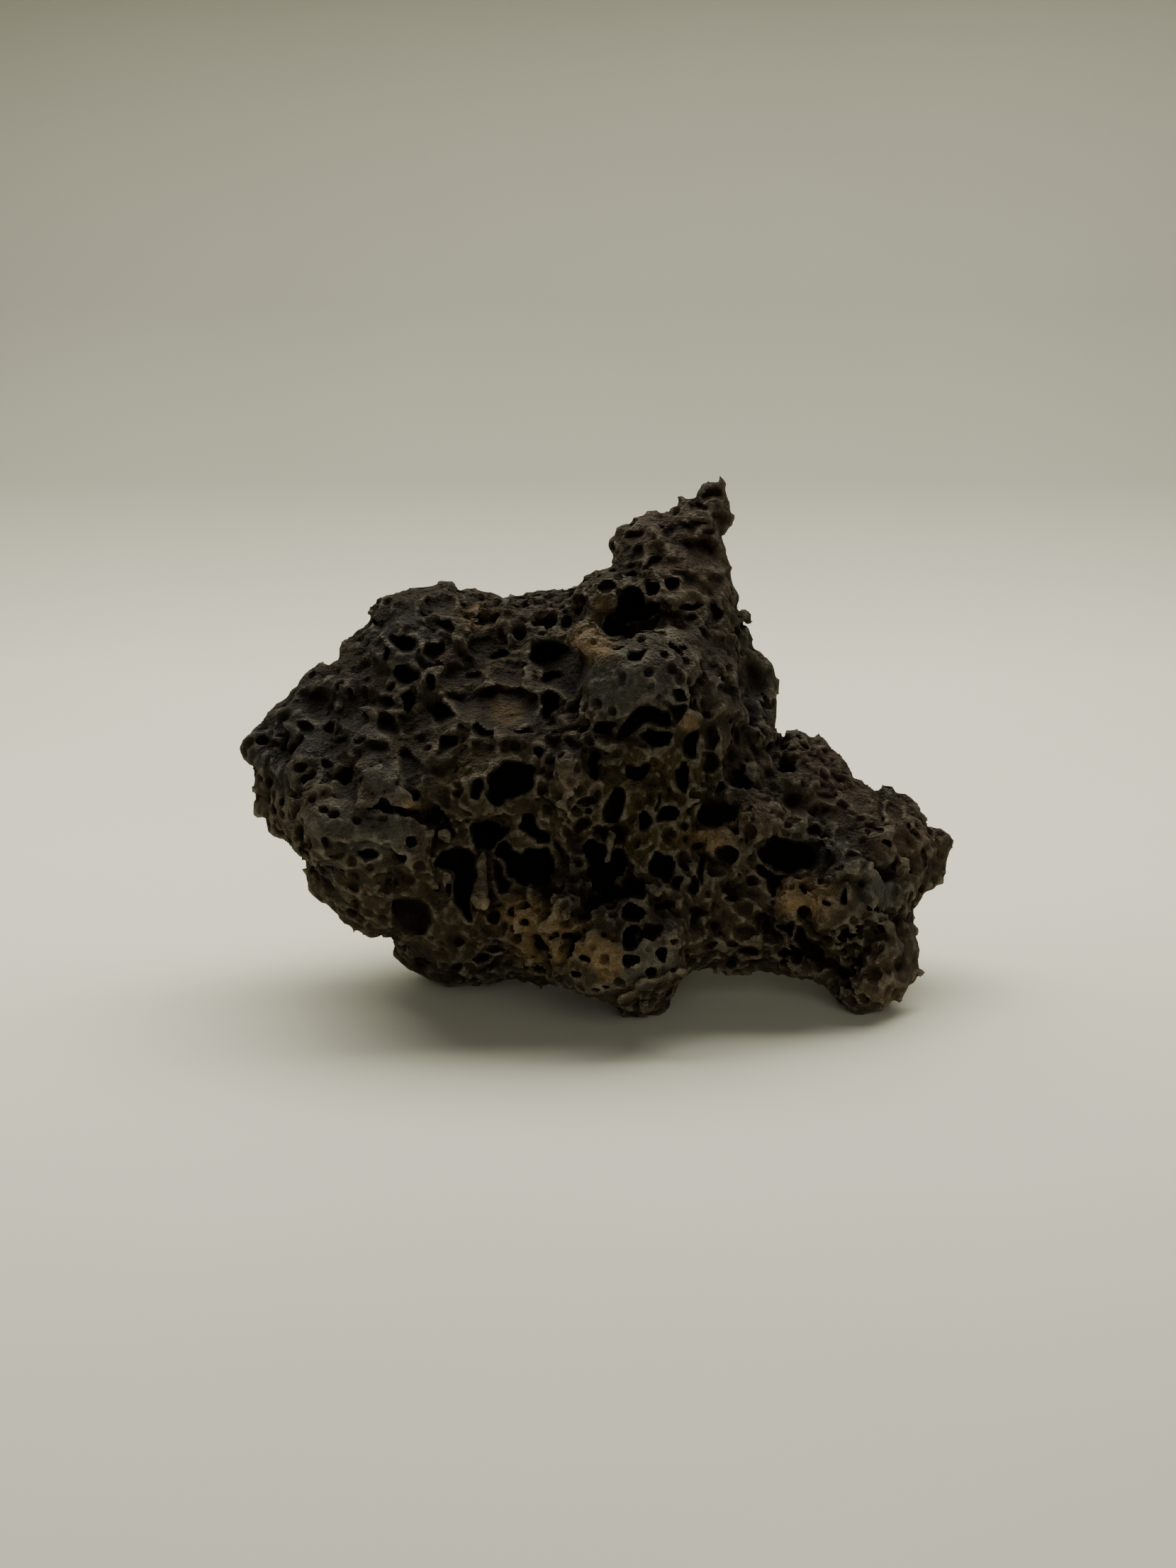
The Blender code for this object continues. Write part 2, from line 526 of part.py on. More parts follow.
def thin_out(rock):
    """Fewer triangles where the surface is plain."""
    bpy.context.view_layer.update()
    graph = bpy.context.evaluated_depsgraph_get()
    evaluated = rock.evaluated_get(graph)
    mesh = evaluated.to_mesh()
    mesh.calc_loop_triangles()
    triangles = len(mesh.loop_triangles)
    evaluated.to_mesh_clear()
    fewer = rock.modifiers.new("thin_out", "DECIMATE")
    fewer.ratio = TRIANGLES / triangles
    fewer.use_collapse_triangulate = True
    print("triangles before thinning:", triangles)


def bake_modifiers(rock):
    """Keep the modifiers' result as the rock's own mesh."""
    bpy.context.view_layer.update()
    graph = bpy.context.evaluated_depsgraph_get()
    result = bpy.data.meshes.new_from_object(rock.evaluated_get(graph))
    rock.modifiers.clear()
    rock.data = result


def centre_on_origin(rock):
    """Middle of the box over the origin, feet on z = 0."""
    places = np.empty(len(rock.data.vertices) * 3)
    rock.data.vertices.foreach_get("co", places)
    places = places.reshape(-1, 3)
    middle = (places.min(axis=0) + places.max(axis=0)) / 2
    places[:, :2] -= middle[:2]
    rock.data.vertices.foreach_set("co", places.ravel())
    rock.data.update()
    print("moved by", -middle[0], -middle[1])


def build():
    """The whole rock, in one piece."""
    clear_scene()
    mesh = body_mesh()
    rock = bpy.data.objects.new("lava_rock", mesh)
    bpy.context.collection.objects.link(rock)
    pits = pit_cutters(mesh)
    table = table_cutter()
    cut_with(rock, pits, self_crossing=True)
    even_out(rock)
    thin_out(rock)
    cut_with(rock, table)
    bake_modifiers(rock)
    for cutter in (pits, table):
        bpy.data.objects.remove(cutter, do_unlink=True)
    centre_on_origin(rock)
    rock.data.materials.clear()
    rock.data.materials.append(stone_material())
    rock.data.shade_flat()
    print("triangles:", sum(len(face.vertices) - 2 for face in rock.data.polygons))


build()
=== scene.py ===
# %% [markdown]
# # A lava rock
# The rock is one lump of basalt that froze while it was full of gas. Its look comes
# from three things: the odd outline with its leaning peak, the gas holes of every
# size with thin walls between them, and the few places where the molten skin stayed
# whole and smooth. This lesson builds all of that as one solid shape on a fine 3-D
# grid and then dresses it with one layered stone material.

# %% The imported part
import math

import bpy
import numpy as np
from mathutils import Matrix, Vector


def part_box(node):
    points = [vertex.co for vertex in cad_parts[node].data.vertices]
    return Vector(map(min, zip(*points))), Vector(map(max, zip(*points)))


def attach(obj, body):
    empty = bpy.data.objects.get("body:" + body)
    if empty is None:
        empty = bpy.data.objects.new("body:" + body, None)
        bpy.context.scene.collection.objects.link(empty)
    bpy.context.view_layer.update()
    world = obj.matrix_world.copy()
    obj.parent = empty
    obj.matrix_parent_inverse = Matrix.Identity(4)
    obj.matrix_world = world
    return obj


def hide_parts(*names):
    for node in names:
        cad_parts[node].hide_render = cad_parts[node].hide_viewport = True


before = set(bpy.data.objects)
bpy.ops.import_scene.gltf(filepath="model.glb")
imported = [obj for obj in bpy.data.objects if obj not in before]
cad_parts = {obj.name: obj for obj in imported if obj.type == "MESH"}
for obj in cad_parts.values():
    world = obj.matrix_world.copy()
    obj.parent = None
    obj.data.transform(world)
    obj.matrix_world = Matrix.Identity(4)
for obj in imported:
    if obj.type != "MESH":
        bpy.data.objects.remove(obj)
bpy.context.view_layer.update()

part_low, part_high = (np.array(corner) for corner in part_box("lava_rock"))
print("part box, mm:", (part_low * 1000).round(1), (part_high * 1000).round(1))

# %% [markdown]
# ## The sitter's view
# A natural shape has no plan or side view to measure, so it is drawn the way a
# sculptor would draw it: from one seat. A place is across and up in that view, and
# back along the line of sight, in millimetres. Lines of sight spread with distance,
# so a place's real size grows by (D + back) / D, where D is the eye's distance.

# %% From the sitter's view to the table
MM = 0.001
EYE_ELEVATION = math.radians(14.0)
EYE_DISTANCE = 460.8
AIM_ACROSS, AIM_UP = -1.7, 48.9
TABLE_ROW_BACK = -12.0
MOVED_X, MOVED_Y = -0.64, 1.01

SIN, COS = math.sin(EYE_ELEVATION), math.cos(EYE_ELEVATION)
EYE_X = AIM_ACROSS + MOVED_X
EYE_Y = -EYE_DISTANCE * COS + MOVED_Y
ROW_SCALE = (EYE_DISTANCE + TABLE_ROW_BACK) / EYE_DISTANCE
EYE_Z = AIM_UP * ROW_SCALE * COS + (EYE_DISTANCE + TABLE_ROW_BACK) * SIN


def to_table(across, up, back):
    """x = aim + (across - aim) k, y and z the same along the view's up and back, k = (D + back) / D."""
    scale = (EYE_DISTANCE + back) / EYE_DISTANCE
    x = EYE_X + (across - AIM_ACROSS) * scale
    y = EYE_Y + (up - AIM_UP) * scale * SIN + (EYE_DISTANCE + back) * COS
    z = EYE_Z + (up - AIM_UP) * scale * COS - (EYE_DISTANCE + back) * SIN
    return x, y, z


def to_view(x, y, z):
    """The way back: back is the distance along the sight axis less D, and across and up shrink by 1 / k."""
    back = (y - EYE_Y) * COS - (z - EYE_Z) * SIN - EYE_DISTANCE
    scale = (EYE_DISTANCE + back) / EYE_DISTANCE
    across = AIM_ACROSS + (x - EYE_X) / scale
    up = AIM_UP + ((y - EYE_Y) * SIN + (z - EYE_Z) * COS) / scale
    return across, up, back


# %% [markdown]
# ## The outline and the thickness
# These are the drawn values of the part's own source, with one small swell more: the
# edge against the background, how thick the rock is in each region, and the larger
# swells, hollows and feet. The part uses them on a coarse grid. Here the grid is fine
# enough for the teeth along the edge.

# %% The drawn form
OUTLINE = [
    (-76.2, 56.3), (-75.3, 58.0), (-74.0, 60.0), (-72.2, 62.4), (-70.6, 64.8), (-69.8, 65.1),
    (-68.6, 66.6), (-66.4, 67.6), (-64.3, 70.4), (-62.9, 71.8), (-61.0, 74.0), (-58.6, 75.7),
    (-57.3, 75.1), (-55.4, 75.2), (-55.1, 76.6), (-54.0, 79.8), (-52.5, 80.8), (-51.0, 82.0),
    (-49.8, 82.4), (-49.2, 84.9), (-48.9, 86.6), (-47.6, 88.1), (-45.6, 89.1), (-43.2, 90.0),
    (-41.2, 90.9), (-39.0, 91.8), (-34.6, 92.1), (-33.8, 93.2), (-31.0, 92.6), (-29.7, 90.4),
    (-27.0, 90.9), (-26.4, 91.5), (-24.0, 90.8), (-21.5, 89.7), (-19.9, 88.9), (-18.8, 89.9),
    (-16.4, 90.1), (-15.8, 90.9), (-12.2, 90.6), (-10.2, 90.0), (-7.0, 90.6), (-5.4, 91.6),
    (-3.6, 93.3), (-1.8, 94.2), (-1.0, 95.6), (0.4, 95.0), (3.2, 95.6), (3.1, 98.2),
    (2.6, 99.8), (2.7, 101.3), (3.9, 101.9), (4.5, 104.0), (6.5, 105.6), (7.1, 106.5),
    (9.4, 106.4), (10.6, 107.5), (12.4, 107.5), (13.8, 106.7), (15.3, 107.6), (16.7, 108.8),
    (17.1, 110.5), (20.2, 110.9), (20.7, 112.0), (23.4, 113.6), (25.2, 113.9), (26.0, 114.7),
    (27.2, 114.5), (27.7, 113.6), (27.2, 112.0), (27.4, 109.6), (28.4, 107.7), (29.6, 107.0),
    (29.5, 105.6), (28.6, 104.0), (26.8, 102.2), (25.9, 102.4), (26.9, 99.8), (27.1, 98.2),
    (27.8, 96.8), (28.5, 95.0), (28.9, 91.4), (29.8, 89.0), (29.8, 86.8), (31.2, 84.8),
    (30.4, 83.9), (31.9, 82.4), (32.8, 80.6), (33.0, 78.0), (34.4, 77.5), (36.5, 75.1),
    (37.3, 71.9), (38.0, 71.4), (37.8, 70.2), (38.5, 67.2), (38.4, 63.6), (38.0, 60.4),
    (37.9, 58.2), (39.2, 57.0), (40.5, 58.8), (40.6, 60.5), (41.3, 61.0), (42.8, 60.1),
    (45.0, 59.4), (46.8, 60.0), (48.7, 58.4), (49.5, 56.8), (52.0, 55.1), (53.0, 54.0),
    (52.9, 52.6), (54.1, 50.6), (55.8, 50.1), (57.4, 48.7), (59.5, 47.9), (60.0, 49.4),
    (62.8, 49.3), (63.6, 47.8), (65.8, 47.6), (66.8, 46.3), (68.4, 44.7), (69.2, 42.6),
    (70.6, 40.1), (72.8, 40.4), (74.4, 39.2), (76.4, 37.0), (75.2, 35.2), (74.3, 33.6),
    (73.4, 30.0), (72.8, 28.0), (71.2, 26.6), (69.2, 25.8), (68.6, 24.2), (67.0, 22.2),
    (66.6, 19.4), (68.1, 16.6), (68.3, 13.4), (68.7, 9.0), (67.6, 6.6), (66.0, 5.7),
    (64.2, 4.1), (62.4, 4.7), (59.2, 3.6), (57.7, 2.2), (56.9, 0.4), (56.0, 0.0),
    (53.8, 1.2), (51.5, 3.1), (49.8, 2.8), (48.6, 4.6), (46.4, 6.8), (42.0, 7.7),
    (38.4, 8.6), (36.2, 9.5), (32.6, 8.4), (30.1, 7.6), (28.4, 8.6), (26.0, 8.8),
    (24.2, 10.6), (20.8, 10.2), (18.4, 9.8), (16.4, 8.0), (15.0, 6.0), (14.2, 3.6),
    (13.4, 1.4), (11.6, 0.0), (8.0, 0.0), (6.5, 1.4), (5.8, 2.8), (2.6, 2.1),
    (-2.0, 3.9), (-4.3, 5.4), (-5.4, 7.0), (-9.2, 6.4), (-12.4, 5.2), (-15.4, 6.6),
    (-19.0, 7.6), (-23.5, 6.8), (-27.4, 5.6), (-30.4, 5.3), (-33.6, 6.4), (-37.8, 8.0),
    (-40.3, 9.8), (-43.2, 12.3), (-42.9, 15.2), (-43.5, 16.6), (-45.0, 16.8), (-47.2, 15.8),
    (-49.0, 15.7), (-51.8, 17.6), (-53.8, 18.9), (-54.7, 20.2), (-58.0, 22.8), (-60.0, 24.9),
    (-62.3, 26.8), (-62.2, 29.4), (-63.0, 31.0), (-61.6, 32.2), (-64.6, 34.0), (-65.3, 35.3),
    (-67.2, 37.2), (-69.6, 37.6), (-70.9, 38.6), (-71.5, 41.8), (-72.7, 43.2), (-72.6, 45.4),
    (-73.6, 48.0), (-73.6, 52.1), (-75.7, 54.5),
]
# (across, up, back of the middle, reach forward, reach back, width of the rounded rim)
THICKNESS = [
    (-70, 55, 2, 10, 14, 11),
    (-57, 45, -2, 26, 26, 21),
    (-48, 78, 6, 20, 20, 17),
    (-15, 50, 0, 33, 40, 30),
    (-15, 84, 10, 18, 22, 15),
    (10, 62, -2, 34, 34, 24),
    (18, 88, 4, 20, 18, 14),
    (18, 102, 8, 11, 12, 9),
    (25, 111, 8, 5, 5, 5),
    (34, 60, 4, 24, 26, 14),
    (36, 34, 4, 26, 26, 22),
    (58, 32, 6, 24, 22, 19),
    (72, 35, 8, 9, 10, 9),
    (46, 52, 10, 12, 14, 10),
    (60, 10, -11, 9, 20, 12),
    (8, 14, -10, 24, 26, 14),
    (-32, 14, 4, 30, 22, 16),
    (-52, 26, -4, 18, 20, 14),
]
THICKNESS_SPREAD = 11.0
JAGGED_DEPTH = 5.0
CALM_WIDTH = 4.0
CALM_INSET = 1.2
# (across, up, back, their half sizes, roll in degrees)
SWELLS = [
    (-50, 39, -22, 17, 10, 10.5, -12),
    (-44, 49, -22, 8, 5, 11, -35),
    (6, 71, -22, 14, 12, 13, 0),
    (6, 13, -22, 14, 9, 13, 12),
    (31, 41, -14, 8, 7, 11, 0),
    (1, 88, -4, 5, 5, 8, 0),
    (52, 26, -14, 10, 9, 9, 0),
    (-7, 50, -24, 5.5, 6, 12, 0),
]
HOLLOWS = [
    (-20, 34, -37, 18, 12, 13, 0),
    (2, 32, -38, 8, 10, 13, 0),
    (-11, 72, -32, 9, 11, 11, 0),
    (-25, 67, -34, 10, 8, 9, 0),
    (40, 35, -24, 8, 5, 11, 0),
    (5, 86, -15, 7, 6, 9, 0),
    (46, 13, -26, 8, 5, 12, -30),
    (-61, 66, -14, 7, 6, 8, 0),
    (34, 71, -12, 5, 7, 9, 0),
    (23, 56, -34, 3, 8, 6, 0),
]
MELT_WIDTH = 5.0
# (x, y, their half sizes, dip below the table)
FEET = [
    (9.6, -19.0, 5.5, 7.0, 7.0, 0.9),
    (56.6, -20.0, 5.0, 7.0, 8.0, 0.9),
    (-31.0, 4.0, 9.0, 8.0, 9.0, 0.9),
    (14.0, 25.0, 9.0, 9.0, 14.0, 3.4),
]

# %% [markdown]
# ## The grid
# Every step below is a field: one number for each point of a 3-D grid, negative inside
# the rock. Adding a lump is a minimum of two fields and carving a hole a maximum, so
# nothing ever tears, however many holes overlap. That is why this way was chosen over
# thousands of Booleans.

# %% The grid's axes and the tools that act on it
CELL = 0.5
FRONT_BACK = (-44.0, 52.0)
corners = np.array(OUTLINE)
low, high = corners.min(axis=0) - 3 * CELL, corners.max(axis=0) + 3 * CELL
across_axis = np.arange(low[0], high[0], CELL, dtype=np.float32)
up_axis = np.arange(low[1], high[1], CELL, dtype=np.float32)
back_axis = np.arange(*FRONT_BACK, CELL, dtype=np.float32)
AXES = (across_axis, up_axis, back_axis)
SHAPE = tuple(len(axis) for axis in AXES)
ORIGIN = np.array([axis[0] for axis in AXES])
across_grid = across_axis[:, None, None]
up_grid = up_axis[None, :, None]
back_grid = back_axis[None, None, :]
print("grid:", SHAPE, "points:", np.prod(SHAPE))


def blurred(values, width):
    """Values averaged with a bell-shaped weight along every axis, width in grid steps."""
    reach = int(3 * width) + 1
    bell = np.exp(-0.5 * (np.arange(-reach, reach + 1) / width) ** 2)
    bell /= bell.sum()
    for axis in range(values.ndim):
        padding = [(reach, reach) if axis == i else (0, 0) for i in range(values.ndim)]
        padded = np.pad(values, padding, mode="edge")
        total = np.zeros_like(values)
        for step, weight in enumerate(bell):
            window = [slice(None)] * values.ndim
            window[axis] = slice(step, step + values.shape[axis])
            total += values.dtype.type(weight) * padded[tuple(window)]
        values = total
    return values


def spline_weights(count, spacing):
    """How much each of a few loose knots counts at each grid point: cubic B-spline weights."""
    knots = int(count / spacing) + 4
    place = np.arange(count)[:, None] / spacing + 1.0
    gap = np.abs(place - np.arange(knots)[None, :])
    near = 2 / 3 - gap ** 2 + gap ** 3 / 2
    far = np.clip(2 - gap, 0, None) ** 3 / 6
    return np.where(gap < 1, near, far).astype(np.float32)


def noise(width, seed):
    """Smooth random lumps about width mm across, with a spread of 1: random knots joined by splines."""
    spacing = width / CELL / 2
    tables = [spline_weights(count, spacing) for count in SHAPE]
    chance = np.random.default_rng(seed)
    knots = chance.normal(size=[table.shape[1] for table in tables]).astype(np.float32)
    lumps = np.einsum("ai,ijk->ajk", tables[0], knots)
    lumps = np.einsum("bj,ajk->abk", tables[1], lumps)
    lumps = np.einsum("ck,abk->abc", tables[2], lumps, optimize=True)
    return lumps / lumps[::4, ::4, ::4].std()


# %% The body
def outline_inset(ring, across, up):
    """How far inside a closed outline each place is: the distance to its nearest side, negative outside."""
    nearest = np.full(across.shape, np.inf)
    inside = np.zeros(across.shape, dtype=bool)
    for (ax, ay), (bx, by) in zip(ring, np.roll(ring, -1, axis=0)):
        dx, dy = bx - ax, by - ay
        along = ((across - ax) * dx + (up - ay) * dy) / (dx * dx + dy * dy)
        along = np.clip(along, 0.0, 1.0)
        nearest = np.minimum(nearest, np.hypot(across - ax - along * dx, up - ay - along * dy))
        if ay != by:
            inside ^= ((ay > up) != (by > up)) & (across < dx * (up - ay) / dy + ax)
    return np.where(inside, nearest, -nearest).astype(np.float32)


def thickness_maps(across, up):
    """Middle, reach forward, reach back and rim width, blended between the stations."""
    stations = np.array(THICKNESS, dtype=float)
    away = [(across - a) ** 2 + (up - u) ** 2 for a, u in stations[:, :2]]
    weights = np.array([np.exp(-d / (2 * THICKNESS_SPREAD ** 2)) + 1e-6 / (1 + d) for d in away])
    weights /= weights.sum(axis=0)
    return [np.tensordot(column, weights, 1) for column in stations[:, 2:].T]


def ellipsoid(across, up, back, shape):
    """About the distance to an ellipsoid: (length in half sizes - 1) x least half size."""
    a, u, b, half_a, half_u, half_b, roll = shape
    turn = math.radians(roll)
    da, du, db = across - a, up - u, back - b
    along = da * math.cos(turn) + du * math.sin(turn)
    aside = du * math.cos(turn) - da * math.sin(turn)
    length = np.sqrt((along / half_a) ** 2 + (aside / half_u) ** 2 + (db / half_b) ** 2)
    return (length - 1.0) * min(half_a, half_u, half_b)


def melted(first, second, width=MELT_WIDTH):
    """The smaller of two fields, with a soft join of the given width."""
    blend = np.clip(0.5 + 0.5 * (second - first) / width, 0.0, 1.0)
    return second + (first - second) * blend - width * blend * (1.0 - blend)


flat_across, flat_up = np.meshgrid(across_axis, up_axis, indexing="ij")
inset_map = outline_inset(corners, flat_across, flat_up)


def body_field():
    """A pillow over the outline: (rim - inset)^2 + (depth x rim / reach)^2 = rim^2, with swells,
    feet and hollows melted on and out."""
    maps = thickness_maps(flat_across, flat_up)
    middle, forward, backward, rim = (values.astype(np.float32)[:, :, None] for values in maps)
    calm = np.minimum(inset_map, blurred(inset_map, CALM_WIDTH / CELL) - CALM_INSET)[:, :, None]
    inset = inset_map[:, :, None]
    depth = back_grid - middle
    edge = inset + (calm - inset) * np.clip(np.abs(depth) / JAGGED_DEPTH, 0.0, 1.0)
    stretch = np.where(depth < 0, rim / forward, rim / backward)
    field = np.hypot(np.maximum(rim - edge, 0.0), depth * stretch) - rim
    for shape in SWELLS:
        field = melted(field, ellipsoid(across_grid, up_grid, back_grid, shape))
    x, y, z = to_table(across_grid, up_grid, back_grid)
    for foot_x, foot_y, half_x, half_y, half_z, dip in FEET:
        foot = (foot_x + MOVED_X, foot_y + MOVED_Y, half_z - dip, half_x, half_y, half_z, 0)
        field = melted(field, ellipsoid(x, y, z, foot))
    for shape in HOLLOWS:
        field = -melted(-field, ellipsoid(across_grid, up_grid, back_grid, shape))
    return field.astype(np.float32)


body = body_field()
print("body volume, cm3:", round(float((body < 0).sum()) * CELL ** 3 / 1000, 1))

# %% [markdown]
# ## Rough plates and lumps
# Where the molten skin stayed whole, thin plates of it stand proud of the foamy rock
# and end in a sharp lip. Each plate is an outline in the sitter's view that follows
# the body's front at a given height. Small smooth lumps sit on the front in the same
# way. The whole surface is also uneven: it has broad swellings, and two sizes of sharp
# crests along the lines where smooth noise changes sign.

# %% The body's front and its unevenness
def front_of(field):
    """How far back the first inside point of each line of sight is; the far end where there is none."""
    inside = field < 0
    first = inside.argmax(axis=2)
    return np.where(inside.any(axis=2), back_axis[first], back_axis[-1]).astype(np.float32)


# (lift above the body's front, thickness, how calm, outline as (across, up) points)
PLATES = [
    # flake at the left
    (4.2, 3.0, 0.95, [(-51.6, 43.8), (-52.2, 45.7), (-50.5, 48.0), (-50.2, 50.8), (-47.1, 53.9),
                      (-43.1, 51.4), (-42.5, 49.1), (-36.0, 44.2), (-42.5, 43.1), (-45.4, 44.8)]),
    # plate under it
    (2.2, 4.0, 0.8, [(-64.5, 44.0), (-58.0, 46.5), (-50.0, 45.0), (-43.0, 43.6), (-37.5, 42.4),
                     (-35.4, 39.5), (-35.6, 35.0), (-37.0, 31.2), (-41.0, 31.8), (-44.0, 35.5),
                     (-50.0, 36.6), (-58.0, 36.2), (-63.5, 39.5)]),
    # skin in the middle
    (1.6, 3.5, 0.6, [(-4.5, 63.5), (-3.5, 70.0), (-0.5, 77.0), (4.5, 80.5), (12.0, 83.0), (20.0, 82.5),
                     (22.5, 77.0), (21.0, 69.0), (12.0, 68.5), (5.0, 62.8)]),
    # blade at the bottom
    (2.6, 3.5, 0.7, [(-7.5, 7.5), (-6.5, 14.0), (-2.0, 19.0), (4.0, 15.5), (12.0, 16.5), (18.6, 15.0),
                     (18.7, 9.4), (13.0, 7.6), (8.0, 5.2), (4.2, 2.8), (-1.5, 4.2)]),
]
# (across, up, half width, half height, how proud, roll) of smooth round lumps
LUMPS = [(33.8, 41.4, 5.0, 4.7, 3.0, 0), (25.0, 36.8, 6.8, 4.0, 2.2, -15), (-6.5, 52.0, 3.6, 6.0, 2.6, 0),
         (48.0, 22.0, 4.2, 3.6, 2.6, 0), (40.0, 25.5, 3.2, 5.5, 2.6, 0), (1.0, 88.7, 3.8, 3.3, 2.8, 0),
         (-1.5, 80.0, 6.0, 3.8, 2.4, -25), (31.0, 85.0, 2.0, 1.7, 1.6, 0), (-51.0, 62.0, 5.5, 5.0, 2.4, 0),
         (-62.0, 52.0, 4.5, 5.5, 2.2, 0), (-43.0, 77.0, 5.0, 4.0, 2.2, 0), (17.0, 99.0, 5.0, 3.5, 2.2, 20),
         (-14.0, 62.5, 4.0, 3.0, 1.8, 0), (60.0, 36.0, 4.0, 5.0, 2.0, 0), (-31.0, 29.0, 3.0, 5.0, 2.0, 20)]
SWELL_WIDTH, SWELL_HEIGHT = 9.0, 0.7
WAVE_WIDTH, WAVE = 2.4, 0.22
CRESTS = [(5.0, 0.45), (2.1, 0.3)]
SWELL_RIM, SWELL_LEAST = 8.0, 0.3
CALM_FRONT = 2.0
PLATE_WOBBLE, BEVEL_WIDTH, BEVEL_SLOPE = 0.5, 1.5, 0.25
LUMP_SUNK, LUMP_CALM = 1.0, 0.7
# (across, up, half width, half height) of spots where the skin has crumbled
CRUMBS = [(-26, 84, 4.5, 4), (-6, 86.5, 5, 3.5), (-16, 82, 4, 5), (43, 28, 7, 4), (9, 95, 4, 2.5),
          (-45, 30, 4, 4), (53, 15, 4, 4), (62, 46, 5, 3), (30, 28, 3, 3), (12, 23, 4, 2),
          (2, 10, 2.5, 2.5), (45, 56, 5, 3)]
CRUMB_WIDTH, CRUMB_HEIGHT = 1.5, 0.55
GROWN = 0.25
OUTSIDE = 99.0


def rounded(points, rounds=2):
    """The closed outline after cutting each corner at a quarter of both its sides, so many times."""
    ring = np.array(points, dtype=float)
    for _ in range(rounds):
        after = np.roll(ring, -1, axis=0)
        ring = np.stack([ring * 0.75 + after * 0.25, ring * 0.25 + after * 0.75], axis=1).reshape(-1, 2)
    return ring


front = front_of(body)
covered = (front < back_axis[-1]).astype(np.float32)
calm_front = blurred(front * covered, CALM_FRONT / CELL) / (blurred(covered, CALM_FRONT / CELL) + 1e-6)
swell_share = np.clip(inset_map / SWELL_RIM, SWELL_LEAST, 1.0)[:, :, None]
swelling = noise(SWELL_WIDTH, seed=90) * SWELL_HEIGHT * swell_share
crests = sum((np.abs(noise(width, seed=int(width * 10))) - 0.5) * height for width, height in CRESTS)
edge_wobble = crests[:, :, SHAPE[2] // 2]
skin_map = np.zeros_like(front)
wavy_across, wavy_up = (flat + noise(WAVE_WIDTH, seed=60 + i)[:, :, 0] * WAVE
                        for i, flat in enumerate((flat_across, flat_up)))
plates = np.full(SHAPE, OUTSIDE, dtype=np.float32)
for lift, thickness, calm, points in PLATES:
    inset = outline_inset(rounded(points, 1), wavy_across, wavy_up) + edge_wobble * PLATE_WOBBLE
    top = calm_front - lift + np.clip(BEVEL_WIDTH - inset, 0, None) * BEVEL_SLOPE
    plate = np.abs(back_grid - (top + thickness / 2)[:, :, None]) - thickness / 2
    np.minimum(plates, np.maximum(plate, -inset[:, :, None]), out=plates)
    skin_map = np.maximum(skin_map, np.clip(inset / BEVEL_WIDTH, 0, 1) * calm)
for a, u, half_a, half_u, proud, roll in LUMPS:
    back = calm_front[int((a - ORIGIN[0]) / CELL), int((u - ORIGIN[1]) / CELL)] + LUMP_SUNK
    lump = ellipsoid(across_grid, up_grid, back_grid, (a, u, back, half_a, half_u, proud + LUMP_SUNK, roll))
    np.minimum(plates, lump, out=plates)
    skin_map = np.maximum(skin_map, np.clip(-lump.min(axis=2), 0, 1) * LUMP_CALM)
print("share of the view under whole skin:", round(float((skin_map > 0).mean()), 3))
